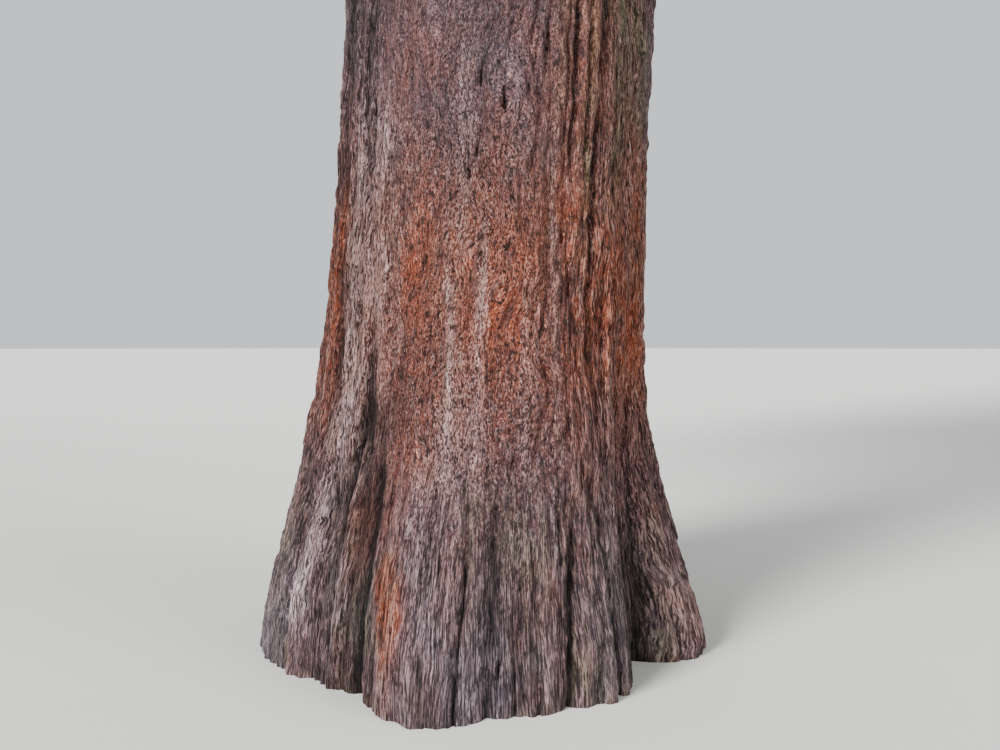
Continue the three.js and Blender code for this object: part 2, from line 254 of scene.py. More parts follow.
# Other sizes of the bark's relief, in metres, and shares of it
FOOT_SWELLING_RISE = 0.018
SWELL_HEIGHT = 1.1
WRINKLE_RISE = 0.034
WRINKLE_DEPTH = 0.0035
BARK_OUT = 0.012
DEEPEST = 0.07
LEAST_SWIRL = 0.1
LEAST_SHIVER = 0.35
FURROWS_ON_FLAKES = 0.74
FINE_ON_FLAKES = 0.35
RELIEF_AT_TOP = 0.3

# A furrow's profile: share, half width and power of its wide and its narrow part
FURROW_PROFILE = ((0.4, 2.2, 2), (0.6, 0.7, 1.5))

# The height where the bark is reddest, and half the height of that belt
RED_HEIGHT = 1.85
RED_BELT = 0.6

# Patterns in the bark's material: cells to a metre along X and Y and up the trunk, and the bump
SWIRLS = (20, 20, 9)
SHORT_FIBRES = (250, 250, 85)
LONG_FIBRES = (250, 250, 16)
PATCHES = (5, 5, 2.2)
MOTTLES = (28, 28, 8)
BIG_FLAKES = (95, 95, 32)
SMALL_FLAKES = (240, 240, 100)
FISSURES = (48, 48, 3.5)
BUMP_HEIGHT = 0.011

# The stage: sides of the floor, the sky, and for each light its strength, turn and width in degrees
FLOOR_SIDES = 96
SKY = "e8ecef"
SKY_STRENGTH = 0.8
KEY_LIGHT = (4.2, (56, 0, -47), 20)
FILL_LIGHT = (1.1, (60, 0, 64), 30)
SENSOR_WIDTH = 36
FARTHEST = 1000

# Furrows in the bark that stand out: direction and height of both ends, depth, half width
FURROWS = (
    (29, 3.5, 27, 2.25, 0.045, 0.016),
    (44, 3.6, 38, 2.7, 0.06, 0.028),
    (38, 2.75, 34, 1.6, 0.05, 0.019),
    (60, 3.6, 54, 2.0, 0.065, 0.024),
    (54, 2.1, 44, 0.85, 0.035, 0.016),
    (51, 3.3, 47, 2.4, 0.035, 0.016),
    (66, 1.5, 64, 0.5, 0.05, 0.022),
    (48, 0.95, 59, 0.5, 0.05, 0.022),
    (60, 0.95, 60, 0.45, 0.06, 0.028),
    (25, 3.5, 24.5, 1.9, 0.025, 0.012),
    (33.5, 3.5, 32.5, 2.2, 0.035, 0.014),
    (57, 3.5, 56, 2.6, 0.035, 0.014),
    (59, 0.7, 59, 0.0, 0.09, 0.04),
    (-62, 3.5, -60, 2.2, 0.05, 0.024),
    (-50, 3.6, -52, 2.1, 0.035, 0.013),
    (-56, 3.6, -57, 1.9, 0.03, 0.012),
    (-44, 3.6, -46, 2.4, 0.022, 0.01),
    (-68, 3.6, -69, 2.0, 0.04, 0.015),
    (-30, 3.3, -32, 2.3, 0.026, 0.012),
    (-10, 3.2, -11, 2.5, 0.012, 0.006),
    (17.3, 3.05, 17, 2.75, 0.03, 0.012),
    (11.5, 2.78, 11.8, 2.6, 0.022, 0.009),
    (-2.4, 2.52, -4.2, 2.33, 0.04, 0.01),
    (-3.1, 2.77, -3.6, 2.66, 0.05, 0.011),
    (4.4, 2.67, 3.8, 2.55, 0.055, 0.012),
    (-5.2, 2.33, -5.6, 2.26, 0.04, 0.012),
    (4.8, 0.27, 4.2, 0.1, 0.06, 0.012),
    (14, 2.95, 13.6, 2.7, 0.02, 0.008),
    (-14, 2.75, -15, 2.2, 0.015, 0.008),
    (6, 2.2, 5, 1.7, 0.014, 0.008),
    (-9.6, 1.95, -10.2, 1.4, 0.016, 0.007),
    (1.2, 2.1, 0.4, 1.3, 0.014, 0.006),
    (-22, 3.4, -22, 2.5, 0.014, 0.006),
    (7, 3.4, 9, 2.9, 0.014, 0.006),
    (-36, 1.9, -37, 1.25, 0.03, 0.014),
    (-37, 1.3, -47, 0.7, 0.055, 0.02),
    (-47, 0.75, -50, 0.0, 0.055, 0.022),
    (25, 2.0, 22, 0.8, 0.02, 0.02),
    (-3, 0.75, -5.3, 0.0, 0.05, 0.014),
    (10.6, 0.7, 9, 0.12, 0.035, 0.012),
    (-18, 0.62, -15, 0.1, 0.025, 0.012),
    (-40, 0.35, -42, 0.0, 0.03, 0.014),
    (25, 0.4, 23.5, 0.05, 0.04, 0.013),
    (65, 0.4, 66, 0.0, 0.04, 0.014),
    (37, 1.1, 31, 0.2, 0.025, 0.012),
    (-68, 1.7, -72, 0.1, 0.05, 0.02),
    (-31, 1.3, -32, 0.0, 0.085, 0.05),
    (5, 1.0, 2, 0.0, 0.05, 0.045),
    (26, 0.9, 21.5, 0.0, 0.06, 0.038),
    (-62, 1.2, -64, 0.0, 0.05, 0.035),
)
# Streaks of pale bark, partly silver weathered bark and partly painted sheen: direction and height of
# both ends, half width in degrees, and how much
STREAKS = (
    (-51, 2.6, -48, 1.1, 4.5, 0.7),
    (-41, 2.75, -40, 0.9, 9.0, 0.7),
    (-49, 1.35, -57, 0.2, 4.2, 0.9),
    (-11.8, 2.1, -9, 0.95, 1.3, 0.45),
    (-0.4, 2.2, -2.8, 0.9, 1.6, 0.45),
    (-8.5, 3.3, -9.5, 2.6, 0.5, 0.7),
    (21.6, 2.6, 22, 1.1, 1.5, 0.4),
    (24.3, 2.0, 24, 1.45, 0.5, 0.6),
    (-7, 1.6, -11, 0.2, 4.4, 0.45),
    (-40, 0.7, -44, 0.1, 2.0, 0.5),
    (-37.5, 2.55, -35.5, 1.65, 4.0, 0.7),
    (66, 0.6, 68, 0.1, 2.5, 0.4),
    (4, 1.6, 7, 0.7, 5.5, -0.3),
    (-7, 3.6, -7, 2.8, 9.0, -0.3),
)
# Bands with more of the painted furrow shade than the rest, or less where below zero, in the same
# order
SHADES = (
    (-7, 3.8, -7, 2.85, 9.0, 0.35),
    (4.5, 1.6, 6.5, 0.8, 5.0, 0.3),
    (57, 3.8, 57, 0.1, 10.0, -0.5),
)
# Bands of olive bark, in the same order
OLIVES = (
    (36.5, 3.8, 33, 1.9, 2.6, 1.0),
    (50.5, 3.8, 46, 1.9, 3.2, 1.0),
    (65, 3.6, 62, 1.5, 3.5, 0.7),
    (21, 3.4, 23, 2.5, 2.5, 0.5),
    (36, 0.7, 34, 0.3, 3.5, 0.5),
    (-2, 0.9, -3.5, 0.35, 2.0, 0.5),
)
# Patches of red bark: direction, height, half width in degrees, half height, and how much
RED_PATCHES = (
    (-61, 2.0, 5, 0.55, 0.8),
    (-38, 1.9, 5, 0.4, 0.3),
    (-22, 1.85, 4.5, 0.32, 0.75),
    (-6, 1.45, 1.6, 0.35, 0.2),
    (11, 1.72, 6, 0.38, 0.75),
    (2.5, 1.8, 2.5, 0.3, 0.3),
    (32, 1.6, 6, 0.38, 0.8),
    (47, 1.55, 13, 0.4, 0.95),
    (66, 1.65, 6, 0.4, 0.8),
    (-22, 0.42, 4.2, 0.2, 2.2),
    (18, 0.52, 2.5, 0.09, 0.5),
    (10, 2.22, 8, 0.2, -0.35),
    (36, 2.28, 9, 0.22, -0.45),
)
# Small hollows: direction, height, depth, half width, half height
HOLLOWS = (
    (-30.0, 0.53, 0.04, 0.025, 0.04),
    (-51.5, 0.72, 0.04, 0.016, 0.03),
    (-22.0, 0.42, 0.02, 0.05, 0.17),
    (-27.0, 1.05, 0.02, 0.03, 0.08),
)
# Lobes of the foot: direction, half width in degrees, how far out
SWELLS = (
    (-56, 6, 0.03),
    (-42, 4, 0.03),
    (-13, 8, 0.04),
    (13, 6, 0.035),
    (32, 5, 0.035),
    (47, 5, 0.02),
)
# Wrinkles across the bark: direction, height, half width in degrees, half height
WRINKLES = (
    (10, 0.52, 4, 0.2),
    (8, 1.15, 9, 0.3),
    (-12, 0.85, 4, 0.3),
    (-55, 0.9, 5, 0.4),
)


def radians(degrees):
    """An angle, or an array of them, turned from degrees."""
    return degrees * math.pi / 180


def mix(a, b, t):
    """From a at t = 0 to b at t = 1."""
    return a + (b - a) * t


def wrapped(degrees):
    """The same direction between -180 and 180 degrees."""
    return (degrees + 180) % 360 - 180


def hump(x, half, power=2):
    """1 in the middle, falling away to both sides."""
    return np.exp(-((x / half) ** power))


def spot(aside, above, wide, tall):
    """1 in the middle of a spot, falling away all round."""
    return np.exp(-((aside / wide) ** 2) - (above / tall) ** 2)


def unit(v):
    """The same directions, each one unit long."""
    return v / np.maximum(np.linalg.norm(v, axis=-1, keepdims=True), 1e-9)


def jitter(a, b):
    """A number from -1 to 1 that is always the same for the same pair."""
    s = math.sin(a * 127.1 + b * 311.7) * 43758.5453
    return 2 * (s - math.floor(s)) - 1


def linear(hexadecimal):
    """The linear red, green, blue and alpha of a colour given as on a colour chart."""
    parts = [int(hexadecimal[i : i + 2], 16) / 255 for i in (0, 2, 4)]
    return tuple(c / 12.92 if c <= 0.04045 else ((c + 0.055) / 1.055) ** 2.4 for c in parts) + (1,)


class TrunkSettings(bpy.types.PropertyGroup):
    columns_front: IntProperty(
        name="Front columns", description="Bark columns on the side that faces the camera",
        default=400,
    )
    columns_back: IntProperty(
        name="Back columns", description="Bark columns on the far side",
        default=140,
    )
    fine_height: FloatProperty(
        name="Fine height", description="Height up to which the bark is fine",
        default=3.5, unit="LENGTH",
    )
    fine_rows: IntProperty(
        name="Fine rows", description="Rows of faces up to that height",
        default=300,
    )
    upper_rows: IntProperty(name="Upper rows", description="Rows of faces above it", default=220)
    relief: FloatProperty(
        name="Relief", description="How strongly the bark stands out",
        default=1.0,
    )


class BarkSettings(bpy.types.PropertyGroup):
    # A darker brown, and the painted shade laid in the gaps and the deepest furrows
    dark: FloatVectorProperty(
        name="Deep bark", description="In furrows",
        default=linear("201515"), subtype="COLOR", size=4,
    )
    # Painted shade, multiplied into the furrows by their depth
    shade: FloatVectorProperty(
        name="Shade", description="Tints the furrows",
        default=linear("584e4c"), subtype="COLOR", size=4,
    )
    brown: FloatVectorProperty(
        name="Brown bark", description="Most of the bark",
        default=linear("824c44"), subtype="COLOR", size=4,
    )
    # Tan, laid on as the painted highlight of the ridge crests and fibre edges, and in flecks
    tan: FloatVectorProperty(
        name="Tan", description="The crests of the ridges",
        default=linear("ac8576"), subtype="COLOR", size=4,
    )
    # Silver weathered bark, also the colour of the painted sheen in the streaks
    silver: FloatVectorProperty(
        name="Silver", description="The streaks of weathered bark",
        default=linear("b4999c"), subtype="COLOR", size=4,
    )
    # Pale bark, also the colour of the painted highlight on the fibre edges and of the painted sheen
    # in the streaks
    pale: FloatVectorProperty(
        name="Pale bark", description="On the ridges",
        default=linear("f0d4d0"), subtype="COLOR", size=4,
    )
    red: FloatVectorProperty(
        name="Red bark", description="Where fibres are fresh",
        default=linear("ae5838"), subtype="COLOR", size=4,
    )
    grey: FloatVectorProperty(
        name="Grey bark", description="Near the foot",
        default=linear("5e5a64"), subtype="COLOR", size=4,
    )
    green: FloatVectorProperty(
        name="Mossy bark", description="Where algae grow",
        default=linear("8e8664"), subtype="COLOR", size=4,
    )


class CrownSettings(bpy.types.PropertyGroup):
    branches: FloatProperty(
        name="Branches", description="Branches on a mass for each metre of size",
        default=8.0,
    )
    twigs: FloatProperty(
        name="Twigs", description="Twigs on a branch for each metre of size",
        default=2.2,
    )
    sprigs: IntProperty(name="Sprigs", description="Sprigs of needles on a twig", default=5)
    frond: FloatProperty(name="Frond", description="Sprigs on a frond a metre long", default=22.0)
    sprig_length: FloatProperty(
        name="Sprig length", description="Length of a sprig on the smallest mass",
        default=0.2, unit="LENGTH",
    )
    needle_dark: FloatVectorProperty(
        name="Inner needles", description="Inside the crown",
        default=linear("35452f"), subtype="COLOR", size=4,
    )
    needle_green: FloatVectorProperty(
        name="Needles", description="Most of the needles",
        default=linear("52683f"), subtype="COLOR", size=4,
    )
    needle_blue: FloatVectorProperty(
        name="Bluish needles", description="Outer needles",
        default=linear("5c785f"), subtype="COLOR", size=4,
    )
    needle_fresh: FloatVectorProperty(
        name="Fresh needles", description="At the tips",
        default=linear("82995c"), subtype="COLOR", size=4,
    )
    twig: FloatVectorProperty(
        name="Twigs", description="Twigs and stems",
        default=linear("5d4433"), subtype="COLOR", size=4,
    )


class StageSettings(bpy.types.PropertyGroup):
    floor: FloatVectorProperty(
        name="Floor", description="Pale floor",
        default=linear("d3d2ce"), subtype="COLOR", size=4,
    )
    floor_radius: FloatProperty(
        name="Floor radius", description="Radius of the floor",
        default=400.0, unit="LENGTH",
    )
    eye_height: FloatProperty(
        name="Eye height", description="Height of the camera",
        default=1.55, unit="LENGTH",
    )
    distance: FloatProperty(
        name="Distance", description="Camera to the trunk's middle",
        default=4.36, unit="LENGTH",
    )
    aside: FloatProperty(
        name="Aside", description="How far right the camera stands",
        default=0.09, unit="LENGTH",
    )
    lens: FloatProperty(name="Lens", description="Focal length on a 36 mm sensor", default=29.1)
    down: FloatProperty(
        name="Looks down", description="Angle below level",
        default=radians(2.12), subtype="ANGLE",
    )


# Shapes shared with the solids
def trunk_axis(z):
    """The middle of the trunk at a height, as a row of x, y, z for each height."""
    z = np.asarray(z, float)
    return np.stack([SWEEP * (1 - np.exp(-((z / SWEEP_HEIGHT) ** 2))), 0 * z, z], axis=-1)


def trunk_radius(z, direction):
    """The trunk's radius at a height and in a direction."""
    bole = BOLE_RADIUS * (1 - (np.maximum(z, 0) / TREE_HEIGHT) ** TAPER_POWER)
    radius = bole + FLARE * hump(z, FLARE_HEIGHT, FLARE_POWER)
    for at, reach, spread, rise in ROOT_LOBES:
        radius = radius + reach * hump(wrapped(direction - at), spread) * hump(z, rise, FLARE_POWER)
    return radius


def crown_radius(z):
    """The radius of the crown's outline at a height."""
    share = (TREE_HEIGHT - z) / (TREE_HEIGHT - CROWN_WIDEST)
    return CROWN_RADIUS * min(1, max(share, 0)) ** CROWN_POWER


class Limb:
    """One limb of the crown, from the trunk's middle through the heart of its mass to the tip."""

    def __init__(self, index):
        saved = RING * (1 - RING_STEP)
        rank = (RING_STEP * index if index < RING else index - saved) / (MASSES - 1 - saved)
        shrink = (VANISHING_HEIGHT - HIGHEST_HEART) / (VANISHING_HEIGHT - LOWEST_HEART)
        below = (VANISHING_HEIGHT - LOWEST_HEART) * shrink**rank
        height = VANISHING_HEIGHT - below
        spacing = -below * math.log(shrink) / (MASSES - 1 - saved)
        outline = crown_radius(height) * (1 + UNEVEN * jitter(index, 3))
        turn = radians(index * GOLDEN_ANGLE + 7 * jitter(index, 1))
        self.index = index
        self.depth = CORE_OUT
        self.sprays = math.floor(mix(LOW_SPRAYS, HIGH_SPRAYS, rank) + 0.5)
        self.out = np.array([math.sin(turn), -math.cos(turn), 0.0])
        self.aside = np.array([math.cos(turn), math.sin(turn), 0.0])
        self.outmost = (1 - HEART_OUT) * outline + STANDING_OUT
        self.reach = HEART_OUT * outline / HEART_ALONG
        self.size = SIZE_SHARE * math.sqrt(2 * math.pi * HEART_OUT * outline * spacing)
        self.slope = mix(LOW_SLOPE, HIGH_SLOPE, rank**SLOPE_POWER) + 0.04 * jitter(index, 2)
        self.bend = SIDE_BEND * jitter(index, 4)
        self.foot = height - self.reach * self.rise(HEART_ALONG)
        self.heart = self.at(HEART_ALONG)

    def rise(self, t):
        """How far above its foot the limb is, in shares of its reach."""
        return self.slope * t * (1 - LEVELLING * t) + TIP_LIFT * t**3

    def at(self, t):
        """The points on the limb's middle line at these shares of its length."""
        t = np.asarray(t, float)[..., None]
        side = self.reach * self.bend * np.sin(math.pi * t)
        up = np.array([0, 0, 1.0])
        level = trunk_axis(self.foot) + self.out * self.reach * t + self.aside * side
        return level + up * self.reach * self.rise(t)

    def radius(self, t):
        swollen = 1 + COLLAR * hump(t, COLLAR_END)
        return (LIMB_THICKNESS * self.reach + THINNEST) * swollen * (1 - LIMB_TAPER * t)


class Leader:
    """The trunk's last shoot, above its tip."""

    def __init__(self):
        self.index = MASSES
        self.depth = TOP_DEPTH
        self.sprays = HIGH_SPRAYS
        self.outmost = TREE_HEIGHT - TOP_HEART
        self.out = np.array([0, 0, 1.0])
        self.aside = np.array([1.0, 0, 0])
        self.size = TOP_SIZE
        self.heart = trunk_axis(TOP_HEART)

    def at(self, t):
        return trunk_axis(mix(TRUNK_TOP - 0.05, TREE_HEIGHT - 0.5 * TOP_SIZE, np.asarray(t, float)))

    def radius(self, t):
        return mix(float(trunk_radius(TRUNK_TOP, 0)), 0.009, t)


class Mass:
    """The space of one mass: flat walls to its neighbours, the crown's floor and its outline."""

    def __init__(self, limb, limbs):
        towards = [np.array([0, 0, -1.0]), limb.out]
        distance = [limb.heart[2] - CROWN_FLOOR, limb.outmost]
        for other in limbs:
            if other is limb:
                continue
            apart = other.heart - limb.heart
            span = np.linalg.norm(apart)
            share = 0.5 + WALL_SHIFT * (limb.size**2 - other.size**2) / span**2
            towards.append(apart / span)
            distance.append(span * share - WALL_MARGIN)
        self.limb = limb
        self.towards = np.array(towards)
        self.distance = np.array(distance)
        self.high = np.cross(limb.out, limb.aside)

    def core_reach(self, d):
        """How far the core reaches from the heart in each of these directions."""
        limb = self.limb
        sides = ((limb.out, limb.depth), (limb.aside, CORE_WIDE), (self.high, CORE_HIGH))
        reach = limb.size / np.sqrt(sum((d @ axis / share) ** 2 for axis, share in sides))
        facing = d @ self.towards.T
        room = np.where(facing > 0, self.distance / np.maximum(facing, 1e-6), np.inf)
        return np.minimum(reach, room.min(axis=-1))

    def holds(self, points):
        """Which of the points are inside the space and clear of the trunk."""
        inside = ((points - self.limb.heart) @ self.towards.T < self.distance).all(axis=-1)
        z = points[..., 2]
        off = points - trunk_axis(z)
        return inside & (np.hypot(off[..., 0], off[..., 1]) > trunk_radius(z, 0) * (z < TRUNK_TOP))

    def way(self, number, facing):
        """One of the directions that wind round the mass, from the outward side at 1 to -1."""
        limb = self.limb
        around = radians(number * GOLDEN_ANGLE + 50 * jitter(limb.index, 7))
        level = math.sqrt(1 - facing**2)
        turned = limb.out * facing + limb.aside * level * math.cos(around)
        return turned + self.high * level * math.sin(around)


# Mesh helpers
def mesh_of(name, vertices, faces, slots=None, smooth=True):
    """A mesh object from arrays of vertices and of triangles or quads."""
    mesh = bpy.data.meshes.new(name)
    count, corners = faces.shape
    mesh.vertices.add(len(vertices))
    mesh.vertices.foreach_set("co", np.ascontiguousarray(vertices, np.float32).ravel())
    mesh.loops.add(count * corners)
    mesh.loops.foreach_set("vertex_index", np.ascontiguousarray(faces, np.int32).ravel())
    mesh.polygons.add(count)
    mesh.polygons.foreach_set("loop_start", np.arange(0, count * corners, corners, dtype=np.int32))
    mesh.polygons.foreach_set("use_smooth", np.full(count, smooth))
    if slots is not None:
        mesh.polygons.foreach_set("material_index", np.ascontiguousarray(slots, np.int32))
    mesh.update(calc_edges=True)
    mesh.validate()
    piece = bpy.data.objects.new(name, mesh)
    bpy.context.scene.collection.objects.link(piece)
    return piece


def add_attribute(piece, name, kind, values):
    """Stores one value for each vertex, for the material to read."""
    values = np.ascontiguousarray(values, np.float32)
    attribute = piece.data.attributes.new(name, kind, "POINT")
    attribute.data.foreach_set("color" if kind == "FLOAT_COLOR" else "vector", values.ravel())


def finish_piece(piece, slot, *nodes):
    """The piece rides on the tree and stands for its nodes; the finish it is given is not used."""
    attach(piece, "root")
    if nodes:
        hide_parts(*nodes)


def noise(turn, height, around, cell, seed):
    """Smooth noise from -1 to 1 on the trunk, with so many cells around and cells so high."""
    v = (height + 2.0) / cell
    table = np.random.default_rng(seed).uniform(-1, 1, (int(v.max()) + 3, around))
    u = (turn % 1.0) * around
    row, column = np.floor(v).astype(int), np.floor(u).astype(int)
    fv, fu = v - row, u - column
    fv, fu = fv * fv * (3 - 2 * fv), fu * fu * (3 - 2 * fu)
    column, after = column % around, (column + 1) % around
    low = table[row, column] * (1 - fu) + table[row, after] * fu
    high = table[row + 1, column] * (1 - fu) + table[row + 1, after] * fu
    return low * (1 - fv) + high * fv


def smooth_step(low, high, x):
    """From 0 below low to 1 above high, with a soft start and end."""
    t = np.clip((x - low) / (high - low), 0, 1)
    return t * t * (3 - 2 * t)


def layers(turn, height, rows):
    """The sum of several layers of noise, each times its share."""
    return sum(share * noise(turn, height, around, cell, seed) for share, around, cell, seed in rows)


def rough_field(turn, height, around, cell, seed, finer):
    """Noise with a share of noise half as wide on it."""
    return layers(turn, height, ((1, around, cell, seed), (finer, 2 * around, cell / 2, seed + 1)))


def creases(turn, height, around, cell, seed, wide):
    """From 0 to 1 in sharp creases that wander up the trunk, with round ridges between."""
    field = rough_field(turn, height, around, cell, seed, 0.4)
    return 1 - np.minimum(np.abs(field) / wide, 1) ** 0.75


def plates(turn, height, around, cell, seed):
    """From -1 to 1 in small flat plates with steep edges."""
    return np.tanh(4 * rough_field(turn, height, around, cell, seed, 0.5))


def zone(direction, z, share, middle, half, start, full):
    """Up to a share in one part of the bark, with soft sides."""
    return share * hump(direction - middle, half, 4) * smooth_step(start, full, z)


def bark_sway(direction, z):
    """How far, in degrees, the fibres lean away from the vertical."""
    turn = direction / 360
    swirling = mix(LEAST_SWIRL, 1, zone(direction, z, *FLAKY_SIDE))
    return layers(turn, z, FIBRE_LEAN) + swirling * layers(turn, z, FIBRE_SWIRL)


def crease_depth(turn, swayed, z, direction, foot):
    """How deep the creases are that cover the whole trunk."""
    patchy = smooth_step(-0.35, 0.45, noise(turn, z, *FURROWED_PATCHES))
    furrowed = (1 - FURROWS_ON_FLAKES * zone(direction, z, *FLAKY_SIDE)) * (0.7 + 0.3 * patchy)
    calm = 1 - zone(direction, z, *CALM_LEFT)
    calm = calm - zone(direction, z, *CALM_RIGHT)
    broad = creases(swayed, z, *BROAD_CREASES) ** 1.4 * BROAD_DEPTH * patchy * calm
    middle = creases(swayed, z, *MIDDLE_CREASES) ** 1.3 * MIDDLE_DEPTH
    ridges = creases(swayed, z, *RIDGE_CREASES) * RIDGE_DEPTH
    fine = creases(swayed, z, *FINE_CREASES) * (FINE_DEPTH + FINE_DEPTH_AT_FOOT * foot)
    thin = creases(swayed, z, *THIN_CREASES) * (THIN_DEPTH + THIN_DEPTH * furrowed)
    return furrowed * (broad + middle + ridges) + mix(FINE_ON_FLAKES, 1, furrowed) * fine + thin


def furrow_ends(z, top, low, half):
    """1 along a furrow, fading at its ends, but not where it runs into the ground."""
    fading = min(0.12 + 6 * half, 0.4 * (top - low))
    ends = 1 - smooth_step(top - fading, top + 0.6 * fading, z)
    if low > 0:
        ends = ends * smooth_step(low - 0.6 * fading, low + fading, z)
    return ends


def off_line(direction, z, top_at, top, low_at, low):
    """How many degrees beside a line that leans from one direction to another."""
    along = np.clip((z - low) / (top - low), 0, 1)
    return direction - mix(low_at, top_at, along)


def bark_relief(direction, z):
    """How far the bark stands out of the trunk's shape, and how deep in a furrow each place is."""
    turn = direction / 360
    swayed = turn + bark_sway(direction, z) / 360
    foot = 1 - smooth_step(0.5, 1.3, z)
    girth = trunk_radius(z, direction)
    swelling = layers(turn, z, (BROAD_SWELLING,)) + layers(swayed, z, (NARROW_SWELLING,))
    swelling = swelling + FOOT_SWELLING_RISE * foot * noise(swayed, z, *FOOT_SWELLING)
    for at, wide, rise in SWELLS:
        aside = ((direction - at) / wide) ** 2
        swelling = swelling + rise * np.exp(-aside - (z / SWELL_HEIGHT) ** 4)
    flakes = sum(rise * plates(swayed, z, *cells) for rise, *cells in FLAKES)
    depth = crease_depth(turn, swayed, z, direction, foot)
    shiver = layers(turn, z, FURROW_SHIVER) * mix(LEAST_SHIVER, 1, zone(direction, z, *FLAKY_SIDE))
    wider = 1 + 0.35 * noise(turn, z, *FURROW_WIDTHS)
    deeper = 0.85 + 0.2 * noise(turn, z, *FURROW_DEPTHS)
    for top_at, top, low_at, low, deep, half in FURROWS:
        off = wrapped(off_line(direction, z, top_at, top, low_at, low) + shiver)
        far = np.abs(radians(off)) * girth / (half * wider)
        profile = sum(share * hump(far, wide, power) for share, wide, power in FURROW_PROFILE)
        depth = np.maximum(depth, deep * furrow_ends(z, top, low, half) * profile * deeper)
    for at, height, deep, half, tall in HOLLOWS:
        off = radians(wrapped(direction - at + 0.7 * shiver)) * girth / half
        depth = np.maximum(depth, deep * np.exp(-((off**2 + ((z - height) / tall) ** 2) ** 1.4)))
    wave = np.sin(2 * math.pi * (z / WRINKLE_RISE + 1.6 * noise(turn, z, *WRINKLE_SHIFTS)))
    for at, height, wide, tall in WRINKLES:
        flakes = flakes + WRINKLE_DEPTH * wave * spot(direction - at, z - height, wide, tall)
    fade = mix(1.0, RELIEF_AT_TOP, smooth_step(4, 28, z))
    return fade * (swelling + flakes - depth + BARK_OUT), depth


def bands(table, direction, z, patchy):
    """The sum of the bands in a table, each with soft sides and ends."""
    total = 0 * z
    for top_at, top, low_at, low, wide, much in table:
        off = wrapped(off_line(direction, z, top_at, top, low_at, low) + 0.9 * patchy)
        rows = smooth_step(low - 0.15, low + 0.2, z) * (1 - smooth_step(top - 0.25, top + 0.15, z))
        total = total + much * rows * hump(off, wide) * (0.75 + 0.4 * patchy)
    return total


def bark_tones(direction, z, depth):
    """Four shares from 0 to 1 for the bark's colours: depth, which sets the painted shade, redness,
    greyness and paleness, which is partly painted sheen.
    """
    turn = direction / 360
    patchy = layers(turn, z, COLOUR_PATCHES)
    red = 0.22 * hump(z - RED_HEIGHT, RED_BELT) * (1 + patchy) + 0.3 * np.maximum(patchy, 0)
    for at, height, wide, tall, much in RED_PATCHES:
        red = red + much * spot(wrapped(direction - at) + 2.0 * patchy, z - height, wide, tall)
    foot = 1 - smooth_step(0.2, 1.5, z + 0.3 * patchy)
    high = (0.5 - 0.4 * hump(direction - 45, 24, 4)) * smooth_step(2.0, 2.9, z)
    grey = foot * (0.7 + 0.35 * patchy) - 0.9 * np.maximum(red - 0.5, 0) + high
    # Paleness, partly silver weathered bark and partly painted sheen
    pale = smooth_step(0.3, 1.0, layers(turn, z, PALE_LINES)) * 0.3
    pale = pale + bands(STREAKS, direction, z, patchy)
    # Painted shade: deeper furrows and the shade bands get more of it
    dark = depth / DEEPEST + bands(SHADES, direction, z, patchy)
    return np.stack([dark, red, grey, pale], axis=-1).clip(0, 1)


def bark_fibres(direction, z):
    """How long the fibres are, from 0 to 1, and how olive the bark is, with a 0 to fill the row."""
    turn = direction / 360
    flaky = zone(direction, z, *FLAKY_SIDE)
    length = np.clip(1 - 0.75 * flaky + 0.25 * noise(turn, z, *FIBRE_LENGTHS), 0, 1)
    patchy = smooth_step(-0.3, 0.6, layers(turn, z, OLIVE_PATCHES))
    right = zone(direction, z, *OLIVE_SIDE) * (1 + 0.7 * noise(turn, z, *OLIVE_LINES))
    foot = 0.6 * (1 - smooth_step(0.5, 1.1, z))
    high = 0.35 * smooth_step(3, 6, z)
    ridges = bands(OLIVES, direction, z, 0.5 * noise(turn, z, *OLIVE_SHIFTS))
    return np.stack([length, (right + foot + high) * patchy + ridges, 0 * z], axis=-1)


def trunk_columns(settings):
    """Directions of the bark's columns, closer together on the side that faces the camera."""
    front = np.linspace(-FRONT_SIDE, FRONT_SIDE, settings.columns_front, endpoint=False)
    back = np.linspace(FRONT_SIDE, 360 - FRONT_SIDE, settings.columns_back, endpoint=False)
    return np.concatenate([front, back])


def trunk_points(directions, heights, relief):
    """A grid of points on the bark, with the grain, the tones and the fibres at each."""
    direction, z = np.meshgrid(directions, heights)
    stands, depth = bark_relief(direction, z)
    fade = 1 - smooth_step(TRUNK_TOP - TOP_FADE, TRUNK_TOP, z)
    radius = trunk_radius(z, direction) + relief * fade * stands
    turn = radians(direction)
    points = trunk_axis(z)
    points[..., 0] += radius * np.sin(turn)
    points[..., 1] -= radius * np.cos(turn)
    lean = radians(direction + bark_sway(direction, z))
    along = z + LONGER_FIBRES * FOOT_FIBRES * np.exp(-z / FOOT_FIBRES)
    grain = np.stack([BOLE_RADIUS * np.sin(lean), -BOLE_RADIUS * np.cos(lean), along], axis=-1)
    return points, grain, bark_tones(direction, z, depth * relief), bark_fibres(direction, z)


